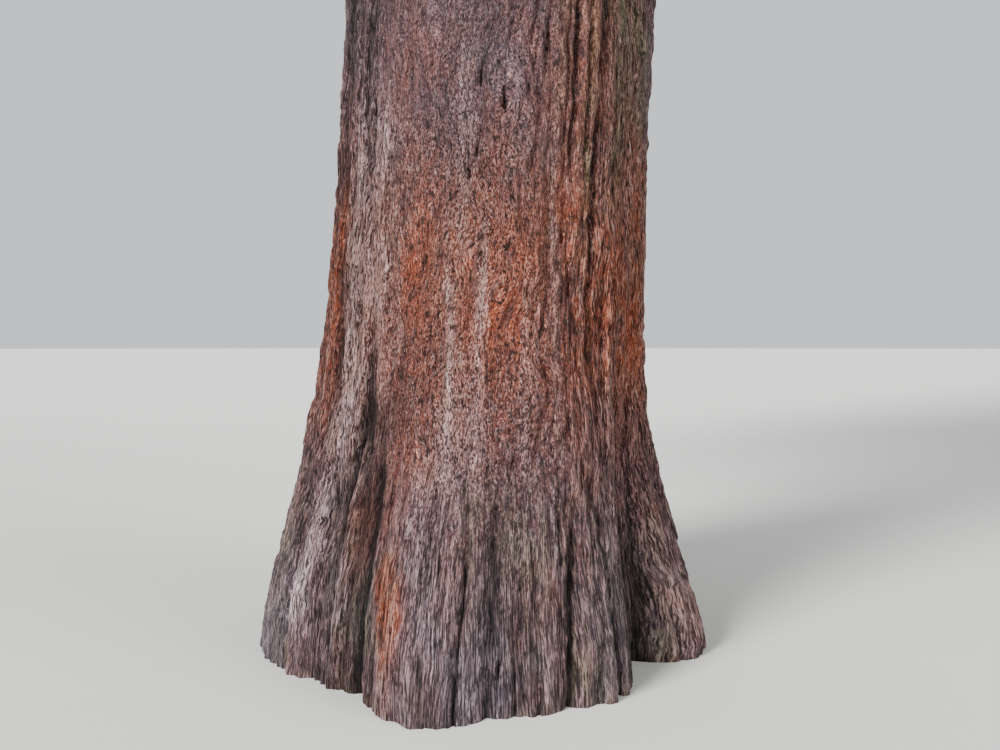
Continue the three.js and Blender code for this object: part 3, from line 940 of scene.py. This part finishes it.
class CONIFER_OT_trunk(bpy.types.Operator):
    """Make the trunk with its bark in relief"""

    bl_idname = "conifer.trunk"
    bl_label = "Trunk"

    def execute(self, context):
        settings = context.scene.conifer_trunk
        bark = bark_material(context.scene.conifer_bark)
        directions = trunk_columns(settings)
        columns = len(directions)
        fine = np.linspace(0, settings.fine_height, settings.fine_rows + 1)
        up = np.linspace(0, 1, settings.upper_rows + 1)[1:]
        upper = settings.fine_height + (TRUNK_TOP - settings.fine_height) * up**ROW_SPREAD
        coarse = directions[::COARSER]
        low = trunk_points(directions, fine, settings.relief)
        high = trunk_points(coarse, upper, settings.relief)
        rows = []
        for below, above in zip(low, high):
            width = below.shape[-1]
            row = np.concatenate([below.reshape(-1, width), above.reshape(-1, width)])
            rows.append(np.vstack([row, row[:1], row[-1:]]))
        points, grain, tones, fibres = rows
        points[-2:] = trunk_axis([0.0, TRUNK_TOP])
        low_faces = ring_faces(len(fine), columns)
        high_faces = ring_faces(len(upper), len(coarse)) + len(fine) * columns
        last = (len(fine) - 1) * columns
        first = len(fine) * columns
        joint = joint_faces(last, columns, first, len(coarse))
        base = cap_faces(0, columns, len(points) - 2)
        tip = cap_faces(len(points) - 2 - len(coarse), len(coarse), len(points) - 1)[:, ::-1]
        normals = point_normals(points, np.vstack([low_faces, high_faces, joint]))
        half = len(low_faces) // 2
        groups = {
            "bark_foot": np.vstack([low_faces[:half], base]),
            "bark_middle": low_faces[half:],
            "bark_upper": np.vstack([high_faces, joint, tip]),
        }
        for name, faces in groups.items():
            used, renumbered = np.unique(faces, return_inverse=True)
            piece = mesh_of(name, points[used], renumbered.reshape(faces.shape))
            add_attribute(piece, "grain", "FLOAT_VECTOR", grain[used])
            add_attribute(piece, "tone", "FLOAT_COLOR", tones[used])
            add_attribute(piece, "fibre", "FLOAT_VECTOR", fibres[used])
            if len(piece.data.vertices) == len(used):
                piece.data.normals_split_custom_set_from_vertices(normals[used])
            piece.data.materials.append(bark)
            finish_piece(piece, "bark", "trunk")
        return {"FINISHED"}


def ring_faces(rows, columns):
    """Triangles between rings of points, one ring above the other."""
    row, column = np.meshgrid(np.arange(rows - 1), np.arange(columns), indexing="ij")
    after = (column + 1) % columns
    a, b = row * columns + column, row * columns + after
    c, d = b + columns, a + columns
    one = np.stack([a, b, c], axis=-1).reshape(-1, 3)
    other = np.stack([a, c, d], axis=-1).reshape(-1, 3)
    return np.stack([one, other], axis=1).reshape(-1, 3)


def joint_faces(last, columns, first, fewer):
    """Triangles between a ring of many points and one of fewer above it."""
    faces = []
    times = columns // fewer
    for j in range(fewer):
        here, there = first + j, first + (j + 1) % fewer
        for k in range(times):
            a, b = last + times * j + k, last + (times * j + k + 1) % columns
            faces.append((a, b, here if k < times // 2 else there))
        faces.append((last + times * j + times // 2, there, here))
    return np.array(faces)


def cap_faces(first, columns, middle):
    """Triangles from a ring to the point in its middle, seen from below."""
    ring = np.arange(columns)
    return np.stack([first + (ring + 1) % columns, first + ring, np.full(columns, middle)], axis=-1)


def point_normals(points, faces):
    """The mean direction of the faces around each point."""
    a, b, c = (points[faces[:, i]] for i in range(3))
    across = np.cross(b - a, c - a)
    normals = np.zeros_like(points)
    for i in range(3):
        for axis in range(3):
            normals[:, axis] += np.bincount(faces[:, i], across[:, axis], len(points))
    return unit(normals)


# Limbs and twigs
def tube(points, radii, sides):
    """Vertices and triangles of a tube along rows of points that ends in a point."""
    along = unit(np.gradient(points, axis=0))[:-1]
    level = np.where(np.abs(along[:, 2:]) > 0.95, np.array([[0, 1.0, 0]]), np.array([[0, 0, 1.0]]))
    side = unit(np.cross(along, level))
    over = np.cross(side, along)
    rings = len(along)
    turn = np.arange(sides)[:, None] * 2 * math.pi / sides
    ring = side[:, None] * np.cos(turn) + over[:, None] * np.sin(turn)
    wide = np.broadcast_to(radii, (rings + 1, sides))[:-1, :, None]
    vertices = np.vstack([(points[:-1, None] + ring * wide).reshape(-1, 3), points[-1:]])
    last = (rings - 1) * sides
    tip = cap_faces(last, sides, len(vertices) - 1)
    return vertices, np.vstack([ring_faces(rings, sides), tip])[:, ::-1]


def joined(parts):
    """One set of vertices and triangles from many."""
    starts = np.cumsum([0] + [len(v) for v, _ in parts[:-1]])
    return np.vstack([v for v, _ in parts]), np.vstack([f + s for s, (_, f) in zip(starts, parts)])


class CONIFER_OT_boughs(bpy.types.Operator):
    """Make the boughs and the stems inside the masses"""

    bl_idname = "conifer.boughs"
    bl_label = "Boughs"

    def execute(self, context):
        parts, grain, tones = [], [], []
        for limb in crown()[0]:
            steps, sides = BOUGH_MESH if limb.index < BOUGHS else STEM_MESH
            t = np.linspace(0.02 if limb.index < MASSES else 0, STEM_END, steps)
            turn, along = np.meshgrid(np.arange(sides) / sides, t * getattr(limb, "reach", 1))
            seed = BOUGH_SEED + limb.index
            rough = layers(turn, along, ((1, 5, 0.35, seed), (0.6, sides, 0.12, seed + 1)))
            radii = np.reshape(limb.radius(t), (-1, 1)) * (1 + 0.09 * rough)
            vertices, faces = tube(limb.at(t), radii, sides)
            parts.append((vertices, faces))
            swung = turn * 2 * math.pi
            here = np.stack([0.2 * np.sin(swung), 0.2 * np.cos(swung), along + limb.index], -1)
            even = 0 * rough
            # The depth share paints shade where the bough's surface dips in; the paleness share is
            # partly painted sheen
            shares = [0.25 - 0.3 * rough, 0.3 + 0.2 * rough, even + 0.3, even + 0.1]
            tone = np.stack(shares, -1).clip(0, 1)
            used = len(vertices) - 1
            grain += [here.reshape(-1, 3)[:used], here.reshape(-1, 3)[-1:]]
            tones += [tone.reshape(-1, 4)[:used], tone.reshape(-1, 4)[-1:]]
        vertices, faces = joined(parts)
        piece = mesh_of("boughs", vertices, faces)
        add_attribute(piece, "grain", "FLOAT_VECTOR", np.vstack(grain))
        add_attribute(piece, "tone", "FLOAT_COLOR", np.vstack(tones))
        add_attribute(piece, "fibre", "FLOAT_VECTOR", np.tile([1.0, 0.3, 0.0], (len(vertices), 1)))
        piece.data.materials.append(bark_material(context.scene.conifer_bark))
        finish_piece(piece, "bark", *[f"bough_{i + 1:02d}" for i in range(BOUGHS)])
        return {"FINISHED"}


def crown():
    """The limbs, lowest first with the leader last, and the space of each one's mass."""
    limbs = [Limb(index) for index in range(MASSES)] + [Leader()]
    return limbs, [Mass(limb, limbs) for limb in limbs]


class Growth:
    """What grows on the stems: twigs with their ends and sprigs with their place and direction."""

    def __init__(self):
        self.twigs = []
        self.sprigs = []

    def twig(self, start, end, radius, lift, steps=3, sides=4):
        t = np.linspace(0, 1, steps + 1)[:, None]
        bow = np.array([0, 0, lift]) * 4 * t * (1 - t)
        self.twigs.append(tube(start + (end - start) * t + bow, radius * (1 - 0.7 * t), sides))

    def sprig(self, places, directions, lengths, inward):
        self.sprigs.append(np.column_stack([places, directions, lengths, inward]))


def grow_mass(mass, settings, growth, random):
    """Branches from the stem to all sides of the mass, twigs on them and sprigs on those."""
    limb, size = mass.limb, mass.limb.size
    branches = round(FEWEST_BRANCHES + settings.branches * size)
    per_branch = max(3, round(FEWEST_TWIGS + settings.twigs * size))
    long = settings.sprig_length + SPRIG_GAIN * size
    up = np.array([0, 0, 1.0])
    for number in range(branches):
        facing = 1 - BRANCHES_AROUND * (number + 0.5) / branches
        ahead = mass.way(number, facing)
        on_stem = 0.3 + 0.3 * facing
        if limb.index < MASSES:
            on_stem = mix(FIRST_BRANCH, LAST_BRANCH, (facing + 1) / 2)
        start = limb.at(on_stem)
        reach = mass.core_reach(ahead[None])[0]
        end = limb.heart + ahead * reach * BRANCH_REACH
        growth.twig(start, end, BRANCH_RADIUS + BRANCH_RADIUS * size, -BRANCH_SAG * reach)
        for n in range(per_branch):
            share = FIRST_TWIG + (1 - FIRST_TWIG) * (n + 0.5) / per_branch
            base = start + (end - start) * share
            off = unit(ahead + TWIG_STRAY * random.normal(size=3) * (1.15 - 0.4 * share))
            out = TWIG_REACH + TWIG_REACH_MORE * random.random()
            tip = limb.heart + off * mass.core_reach(off[None])[0] * out
            if not mass.holds(tip[None])[0]:
                continue
            growth.twig(base, tip, TWIG_RADIUS + TWIG_THICKER * size, -TWIG_SAG * reach, 2, 3)
            count = settings.sprigs + 1
            s = np.linspace(0.3, 1, count)[:, None]
            places = base + (tip - base) * s
            stray = random.normal(size=(count, 3))
            ways = unit(tip - base) * 0.5 + off * 0.45 + up * 0.3 + 0.42 * stray
            lengths = long * (0.8 + 0.4 * random.random(count))
            growth.sprig(places, unit(ways), lengths, 1 - s[:, 0] + 0.2)


def frond_size(mass, start, ahead, across, on_twig):
    """The length and half width of the largest frond that the mass's space holds, or None."""
    for share in SMALLER:
        length = SPRAY_LENGTH * mass.limb.size * share * (TWIG_SPRAY if on_twig else 1)
        half = 0.5 * SPRAY_WIDTH * length
        middle = start + ahead * FROND_WIDEST * length
        rim = np.array([start + ahead * length, middle + across * half, middle - across * half])
        if mass.holds(rim).all():
            return length, half
    return None


def grow_sprays(mass, settings, growth, random):
    """A frond of twigs and sprigs over the outline of each of the mass's sprays."""
    limb = mass.limb
    up = np.array([0, 0, 1.0])
    long = settings.sprig_length + FROND_SPRIG_GAIN * limb.size
    for number in range(limb.sprays):
        towards = mass.way(number, 1 - 2 * SPRAYS_AROUND * (number + 0.35) / limb.sprays)
        ahead = unit(towards + limb.out * SPRAY_OUTWARD + up * SPRAY_LIFT)
        on_twig = number % TWIG_EVERY == 1
        root = mass.core_reach(towards[None])[0] * (TWIG_ROOT if on_twig else SPRAY_ROOT)
        start = limb.heart + towards * root
        side_turn = SPRAY_TURN * (1 if number % 2 else -1)
        turn = radians(side_turn + TURN_SPREAD * jitter(number, limb.index))
        face = up * math.cos(turn) + limb.aside * math.sin(turn)
        across = unit(np.cross(ahead, face))
        over = np.cross(across, ahead)
        held = frond_size(mass, start, ahead, across, on_twig)
        if held is None:
            continue
        length, half = held
        tip = start + ahead * FROND_END * length
        thick = STALK_RADIUS + STALK_THICKER * limb.size
        growth.twig(limb.heart + towards * root * STALK_START, tip, thick, -STALK_SAG * length, 4, 4)
        count = int(settings.frond * (0.6 + length**1.5))
        s = np.linspace(0, 1, count) ** 0.8
        if count < 4:
            s = np.sqrt((np.arange(count) + 0.5) / count)
        s = 0.08 + 0.84 * s
        side = np.where(np.arange(count) % 2, 1.0, -1.0) * random.uniform(0.15, 1, count)
        wide = half * np.minimum(s / 0.42, (1 - s) / 0.55).clip(0.05, 1)
        places = start + np.outer(s * length * FROND_END, ahead)
        places = places + np.outer(side * wide * 0.8, across)
        places = places + np.outer(random.normal(size=count) * FROND_UNEVEN * length, over)
        thick = SIDE_TWIG_RADIUS + SIDE_TWIG_THICKER * limb.size
        for k in range(0, count, 2):
            base = start + ahead * max(s[k] * FROND_END - 0.12, 0.02) * length
            growth.twig(base, places[k], thick, 0, 1, 3)
        stray = random.normal(size=(count, 3))
        ways = ahead + np.outer(side * 0.7, across) + 0.3 * up + 0.33 * stray
        lengths = long * (0.8 + 0.4 * random.random(count))
        growth.sprig(places, unit(ways), lengths, 0.25 + 0 * s)


class CONIFER_OT_foliage(bpy.types.Operator):
    """Grow the twigs and the needles of every mass"""

    bl_idname = "conifer.foliage"
    bl_label = "Twigs and needles"

    def execute(self, context):
        settings = context.scene.conifer_crown
        names = [f"foliage_{i + 1:02d}" for i in range(MASSES)] + ["foliage_top"]
        spare = np.array(SPARE)
        greens = needle_materials(settings)
        wood = plain_material("twig", settings.twig, roughness=0.8)
        twigs = []
        for tier, (first, last) in enumerate(TIERS):
            growth = Growth()
            random = np.random.default_rng(FOLIAGE_SEED + tier)
            for mass in crown()[1][first:last]:
                grow_mass(mass, settings, growth, random)
                grow_sprays(mass, settings, growth, random)
            twigs += growth.twigs
            sprigs = np.vstack(growth.sprigs)
            tips = sprigs[:, :3] + sprigs[:, 3:6] * sprigs[:, 6:7]
            room = ((tips > CAD_BOX[0] - spare) & (tips < CAD_BOX[1] + spare)).all(axis=-1)
            sprigs = sprigs[room & (tips[:, 2] > CROWN_FLOOR - FLOOR_SPARE)]
            vertices, faces, slots = sprig_mesh(sprigs, random)
            piece = mesh_of(f"needles_{tier + 1}", vertices, faces, slots, smooth=False)
            for green in greens:
                piece.data.materials.append(green)
            finish_piece(piece, "foliage", *names[first:last])
        vertices, faces = joined(twigs)
        piece = mesh_of("twigs", vertices, faces)
        piece.data.materials.append(wood)
        finish_piece(piece, "bark", *names)
        return {"FINISHED"}


def sprig_shape(seed):
    """One sprig, a unit long: a folded cord of two faces that carries such cords all round it."""
    random = np.random.default_rng(seed)
    vertices = [(0, 0, 0), (0.4, 0.03, 0.012), (0.4, -0.03, 0.012), (1, 0, 0)]
    faces = [(0, 1, 3), (0, 3, 2)]
    for n in range(CORDS):
        turn = radians(n * GOLDEN_ANGLE + 20 * random.normal())
        lean = radians(CORD_LEAN + 6 * random.normal())
        out = math.sin(lean)
        way = np.array([math.cos(lean), out * math.cos(turn), out * math.sin(turn)])
        side = CORD_WIDTH * unit(np.cross(way, np.array([1.0, 0.2, 0])))
        long = CORD_LENGTH - CORD_SHORTER * n + 0.04 * random.normal()
        root = np.array([FIRST_CORD + CORDS_ALONG * n / CORDS, 0, 0])
        bend = root + way * long * 0.45
        tip = root + way * long + np.array([0.09, 0, 0])
        first = len(vertices)
        vertices += [root, bend + side, bend - side, tip]
        faces += [(first, first + 1, first + 3), (first, first + 3, first + 2)]
    return np.array(vertices, float), np.array(faces)


def sprig_mesh(sprigs, random):
    """All sprigs as one mesh, with the number of each face's green."""
    shapes = [sprig_shape(SPRIG_SEED + n) for n in range(SPRIG_SHAPES)]
    vertices, faces, slots = [], [], []
    start = 0
    for n, (shape, triangles) in enumerate(shapes):
        chosen = sprigs[n :: len(shapes)]
        along, length, inward = unit(chosen[:, 3:6]), chosen[:, 6], chosen[:, 7]
        across = unit(np.cross(along, random.normal(size=along.shape)))
        over = np.cross(along, across)
        placed = chosen[:, None, :3] + length[:, None, None] * (
            shape[None, :, :1] * along[:, None]
            + shape[None, :, 1:2] * across[:, None]
            + shape[None, :, 2:] * over[:, None]
        )
        vertices.append(placed.reshape(-1, 3))
        offsets = start + np.arange(len(chosen))[:, None, None] * len(shape)
        faces.append((triangles[None] + offsets).reshape(-1, 3))
        start += placed.shape[0] * placed.shape[1]
        pick = inward + 0.28 * random.normal(size=len(chosen))
        green = np.select([pick > 0.75, pick > 0.35, pick > 0.12], [0, 1, 2], 3)
        slots.append(np.repeat(green, len(triangles)))
    return np.vstack(vertices), np.vstack(faces), np.concatenate(slots)


# Materials
def plain_material(name, colour, roughness):
    """An even material, made only once."""
    material = bpy.data.materials.get(name)
    if material:
        return material
    material = bpy.data.materials.new(name)
    material.use_nodes = True
    shader = material.node_tree.nodes["Principled BSDF"]
    shader.inputs["Base Color"].default_value = colour
    shader.inputs["Roughness"].default_value = roughness
    shader.inputs["Specular IOR Level"].default_value = 0.3
    return material


def needle_materials(settings):
    """The four greens, from the inner needles to the tips."""
    return [
        plain_material("needles_inner", settings.needle_dark, roughness=0.75),
        plain_material("needles_green", settings.needle_green, roughness=0.65),
        plain_material("needles_bluish", settings.needle_blue, roughness=0.6),
        plain_material("needles_fresh", settings.needle_fresh, roughness=0.6),
    ]


class Nodes:
    """Adds nodes to a material and links them."""

    def __init__(self, material):
        material.use_nodes = True
        self.tree = material.node_tree
        self.shader = self.tree.nodes["Principled BSDF"]

    def add(self, kind, inputs=(), **settings):
        node = self.tree.nodes.new(kind)
        for name, value in settings.items():
            setattr(node, name, value)
        for name, value in dict(inputs).items():
            self.put(value, node.inputs[name])
        return node

    def put(self, value, socket):
        if isinstance(value, bpy.types.NodeSocket):
            self.tree.links.new(value, socket)
        else:
            socket.default_value = value

    def math(self, operation, a, b=0.0, clamp=False):
        inputs = {0: a, 1: b}
        return self.add("ShaderNodeMath", inputs, operation=operation, use_clamp=clamp).outputs[0]

    def times(self, a, b, clamp=False):
        return self.math("MULTIPLY", a, b, clamp)

    def stretched(self, vector, scale):
        return self.add("ShaderNodeMapping", {"Vector": vector, "Scale": scale}).outputs[0]

    def noise(self, vector, scale, detail, roughness, distortion=0.0):
        """Noise with so many cells a metre, as a node with a value and a colour."""
        inputs = {"Vector": self.stretched(vector, scale), "Scale": 1.0, "Detail": detail}
        inputs.update({"Roughness": roughness, "Distortion": distortion})
        return self.add("ShaderNodeTexNoise", inputs)

    def total(self, *terms):
        """The sum of values, each times its weight."""
        total = 0.0
        for value, weight in terms:
            inputs = {0: value, 1: weight, 2: total}
            total = self.add("ShaderNodeMath", inputs, operation="MULTIPLY_ADD").outputs[0]
        return total

    def flakes(self, vector, scale):
        """Domed flakes: their height, how far out on one a place is, and a chance value for each."""
        inputs = {"Vector": self.stretched(vector, scale), "Scale": 1.0}
        cells = self.add("ShaderNodeTexVoronoi", inputs)
        far = cells.outputs["Distance"]
        chance = self.add("ShaderNodeSeparateColor", {"Color": cells.outputs["Color"]}).outputs[0]
        return self.ramp(far, 0.9, 0.0), far, chance

    def mixed(self, share, a, b):
        return self.add("ShaderNodeMix", {0: share, 2: a, 3: b}, data_type="FLOAT").outputs[0]

    def ramp(self, value, low, high):
        inputs = {"Value": value, "From Min": low, "From Max": high}
        return self.add("ShaderNodeMapRange", inputs, interpolation_type="SMOOTHSTEP").outputs[0]

    def blend(self, share, a, b, how="MIX"):
        node = self.add("ShaderNodeMix", data_type="RGBA", blend_type=how)
        self.put(share, node.inputs[0])
        self.put(a, node.inputs[6])
        self.put(b, node.inputs[7])
        return node.outputs[2]


def bark_material(settings):
    """Fibrous bark: dark with painted shade in the crevices between fibres and in the furrows, brown
    and red with pale edges that carry a painted highlight, and grey towards the foot.
    """
    material = bpy.data.materials.get("furrowed_bark")
    if material:
        return material
    material = bpy.data.materials.new("furrowed_bark")
    n = Nodes(material)
    grain = n.add("ShaderNodeAttribute", attribute_name="grain").outputs["Vector"]
    tone = n.add("ShaderNodeAttribute", attribute_name="tone")
    tones = n.add("ShaderNodeSeparateColor", {"Color": tone.outputs["Color"]})
    # The first tone, depth, sets the painted shade in the furrows and the painted highlight on their
    # crests
    depth, red, grey = tones.outputs[0], tones.outputs[1], tones.outputs[2]
    # The alpha, paleness, is partly painted sheen
    pale = tone.outputs["Alpha"]
    fibre = n.add("ShaderNodeAttribute", attribute_name="fibre").outputs["Vector"]
    shares = n.add("ShaderNodeSeparateXYZ", {"Vector": fibre})
    length, olive = shares.outputs[0], shares.outputs[1]

    # Patterns: fibres, flakes and cuts, all pushed about by a swirl
    swirl = n.noise(grain, SWIRLS, 3.0, 0.6).outputs["Color"]
    half = (0.5, 0.5, 0.5)
    centred = n.add("ShaderNodeVectorMath", {0: swirl, 1: half}, operation="SUBTRACT").outputs[0]
    push = n.total((length, -0.018), (1.0, 0.034))
    pushed = n.add("ShaderNodeVectorMath", {0: centred, "Scale": push}, operation="SCALE").outputs[0]
    warped = n.add("ShaderNodeVectorMath", {0: grain, 1: pushed}, operation="ADD").outputs[0]
    short = n.noise(warped, SHORT_FIBRES, 3.0, 0.65, 0.4).outputs["Fac"]
    long = n.noise(warped, LONG_FIBRES, 4.0, 0.65, 0.1).outputs["Fac"]
    fibres = n.math("SUBTRACT", n.mixed(length, short, long), 0.5)
    fibres = n.math("ADD", n.times(fibres, n.total((length, 0.65), (1.0, 1.15))), 0.5)
    patches = n.noise(grain, PATCHES, 4.0, 0.6).outputs["Fac"]
    mottle = n.noise(warped, MOTTLES, 4.0, 0.65, 0.4).outputs["Fac"]
    big, big_far, big_chance = n.flakes(warped, BIG_FLAKES)
    small, _, small_chance = n.flakes(warped, SMALL_FLAKES)
    flaky = n.total((length, -0.5), (1.0, 1.0))
    big_chance = n.mixed(flaky, 0.5, big_chance)
    small_chance = n.mixed(flaky, 0.5, small_chance)
    big = n.times(big, flaky)
    small = n.times(small, flaky)
    fissures = n.noise(warped, FISSURES, 4.0, 0.5, 0.2).outputs["Fac"]
    cuts = n.ramp(n.math("ABSOLUTE", n.math("SUBTRACT", fissures, 0.5)), 0.03, 0.0)
    cuts = n.times(cuts, n.math("ADD", n.times(length, 0.6), 0.4))
    domes = ((big, 0.25), (small, 0.2), (big_chance, 0.2), (small_chance, 0.2))
    height = n.total(*domes, (fibres, 2.0), (cuts, -0.6))

    # How light the fibres are, where the gaps between them lie, which get painted shade, and their
    # edges, which get a painted highlight
    grainy = n.total((big_chance, 0.16), (small_chance, 0.42), (fibres, 1.9), (1.0, -0.1))
    tint = n.total((grainy, 1.0), (mottle, 0.6))
    # Painted shade in the gaps: the rims of the big flakes, the low fibres, the cuts and the deepest
    # furrows
    around_flakes = n.times(n.ramp(big_far, 0.6, 0.85), flaky)
    shaded_gaps = n.math("MAXIMUM", around_flakes, n.ramp(grainy, 1.03, 0.88))
    shaded_gaps = n.math("MAXIMUM", shaded_gaps, n.times(cuts, 0.85))
    shaded_gaps = n.math("MAXIMUM", shaded_gaps, n.times(n.ramp(depth, 0.5, 1.0), 0.6))
    # The lightest fibre tops, which get a painted highlight and a lower roughness
    edges = n.ramp(n.total((tint, 1.0), (pale, 0.3)), 1.53, 1.7)

    # Colours, each laid over those before it
    brown = n.blend(0.3, settings.brown, settings.dark)
    base = n.blend(n.ramp(tint, 1.2, 1.5), brown, settings.brown)
    uneven = n.math("ADD", n.times(mottle, 0.6), n.times(patches, 0.4))
    reddish = n.times(red, n.ramp(n.total((uneven, 1.0), (small_chance, 0.12)), 0.42, 0.64))
    rusty = n.times(n.ramp(big_chance, 0.55, 0.9), 0.25)
    base = n.blend(rusty, base, settings.red)
    bluish = n.times(n.ramp(big_chance, 0.45, 0.1), 0.45)
    base = n.blend(bluish, base, settings.silver)
    worn = n.math("ADD", n.times(n.ramp(patches, 0.6, 0.42), 0.35), 0.65)
    greyish = n.times(grey, worn, True)
    base = n.blend(greyish, base, settings.grey)
    # Painted highlight: the raised crests between the furrows turn tan
    raised = n.times(length, n.ramp(depth, 0.3, 0.0))
    crest_highlight = n.times(raised, n.total((grey, -0.4), (1.0, 0.5)))
    base = n.blend(crest_highlight, base, settings.tan)
    mossy = n.times(olive, n.ramp(mottle, 0.36, 0.56), True)
    base = n.blend(mossy, base, settings.green)
    base = n.blend(n.times(reddish, 1.3, True), base, settings.red)
    # Painted highlight on the fibre edges: screened with tan, then laid over with pale, more in the
    # pale streaks
    edge_highlight = n.times(edges, n.total((grey, -0.2), (1.0, 0.7)))
    base = n.blend(edge_highlight, base, settings.tan, "SCREEN")
    much = n.total((pale, 0.9), (grey, -0.1))
    silver = n.times(edges, n.math("ADD", much, 0.16), True)
    base = n.blend(silver, base, settings.pale)
    # Pale streaks, partly silver weathered bark and partly painted sheen
    streaks = n.times(n.times(pale, 0.5), n.ramp(tint, 1.15, 1.6))
    weathered_and_sheen = n.blend(n.ramp(pale, 0.45, 1.0), settings.silver, settings.pale)
    base = n.blend(streaks, base, weathered_and_sheen)
    flecks = n.times(n.ramp(mottle, 0.47, 0.6), n.times(pale, 0.75), True)
    base = n.blend(flecks, base, n.blend(0.4, settings.tan, settings.red))
    # Painted shade in the gaps, weaker at the foot and in the pale streaks
    gap_shade = n.times(shaded_gaps, n.total((grey, -0.25), (pale, -0.1), (1.0, 0.96)))
    base = n.blend(gap_shade, base, settings.dark)
    # Painted shade, deeper in the furrows and in the shade bands
    in_shade = n.times(n.ramp(depth, 0.1, 0.9), 0.85)
    base = n.blend(in_shade, base, settings.shade, "MULTIPLY")
    base = n.blend(n.times(greyish, 0.55), base, settings.grey, "COLOR")
    n.put(base, n.shader.inputs["Base Color"])
    n.put(n.math("SUBTRACT", 0.78, n.times(edges, 0.36)), n.shader.inputs["Roughness"])
    n.shader.inputs["Specular IOR Level"].default_value = 0.5
    bump = n.add("ShaderNodeBump", {"Height": height, "Strength": 1.0, "Distance": BUMP_HEIGHT})
    n.put(bump.outputs[0], n.shader.inputs["Normal"])
    return material


class CONIFER_OT_stage(bpy.types.Operator):
    """Make the floor, the light and the camera"""

    bl_idname = "conifer.stage"
    bl_label = "Stage"

    def execute(self, context):
        settings = context.scene.conifer_stage
        turn = np.linspace(0, 2 * math.pi, FLOOR_SIDES, endpoint=False)
        rim = settings.floor_radius * np.stack([np.cos(turn), np.sin(turn), 0 * turn], -1)
        side = np.arange(FLOOR_SIDES)
        middle = np.full(FLOOR_SIDES, FLOOR_SIDES)
        faces = np.stack([side, (side + 1) % FLOOR_SIDES, middle], -1)
        floor = mesh_of("floor", np.vstack([rim, np.zeros((1, 3))]), faces)
        floor.data.materials.append(plain_material("floor", settings.floor, roughness=0.85))
        world = bpy.data.worlds.new("studio")
        world.use_nodes = True
        backdrop = world.node_tree.nodes["Background"]
        backdrop.inputs["Color"].default_value = linear(SKY)
        backdrop.inputs["Strength"].default_value = SKY_STRENGTH
        context.scene.world = world
        context.scene.view_settings.look = "AgX - Medium High Contrast"
        add_sun("key_light", *KEY_LIGHT)
        add_sun("fill_light", *FILL_LIGHT)
        camera = bpy.data.objects.new("camera", bpy.data.cameras.new("camera"))
        camera.location = (settings.aside, -settings.distance, settings.eye_height)
        camera.rotation_euler = (math.pi / 2 - settings.down, 0, 0)
        camera.data.sensor_width = SENSOR_WIDTH
        camera.data.lens = settings.lens
        camera.data.clip_end = FARTHEST
        context.scene.collection.objects.link(camera)
        context.scene.camera = camera
        return {"FINISHED"}


def add_sun(name, strength, turned, width):
    """A soft distant light, with its turn and width in degrees."""
    data = bpy.data.lights.new(name, "SUN")
    data.energy = strength
    data.angle = radians(width)
    light = bpy.data.objects.new(name, data)
    light.rotation_euler = [radians(angle) for angle in turned]
    bpy.context.scene.collection.objects.link(light)


class CONIFER_PT_panel(bpy.types.Panel):
    """The sizes and colours of the tree, with a button for each group of pieces"""

    bl_idname = "CONIFER_PT_panel"
    bl_label = "Conifer"
    bl_space_type = "VIEW_3D"
    bl_region_type = "UI"
    bl_category = "Conifer"

    def draw(self, context):
        for operator, group in STEPS:
            box = self.layout.box()
            settings = getattr(context.scene, group)
            for name in settings.__annotations__:
                box.prop(settings, name)
            box.operator(operator)


STEPS = (
    ("conifer.stage", "conifer_stage"),
    ("conifer.trunk", "conifer_trunk"),
    ("conifer.boughs", "conifer_bark"),
    ("conifer.foliage", "conifer_crown"),
)
GROUPS = {
    "conifer_trunk": TrunkSettings,
    "conifer_bark": BarkSettings,
    "conifer_crown": CrownSettings,
    "conifer_stage": StageSettings,
}
CLASSES = (
    TrunkSettings,
    BarkSettings,
    CrownSettings,
    StageSettings,
    CONIFER_OT_trunk,
    CONIFER_OT_boughs,
    CONIFER_OT_foliage,
    CONIFER_OT_stage,
    CONIFER_PT_panel,
)


def register():
    for cls in CLASSES:
        bpy.utils.register_class(cls)
    for name, group in GROUPS.items():
        setattr(bpy.types.Scene, name, PointerProperty(type=group))


def unregister():
    for name in GROUPS:
        delattr(bpy.types.Scene, name)
    for cls in reversed(CLASSES):
        bpy.utils.unregister_class(cls)


def main():
    register()
    bpy.ops.conifer.stage()
    bpy.ops.conifer.trunk()
    bpy.ops.conifer.boughs()
    bpy.ops.conifer.foliage()


if __name__ == "__main__":
    main()
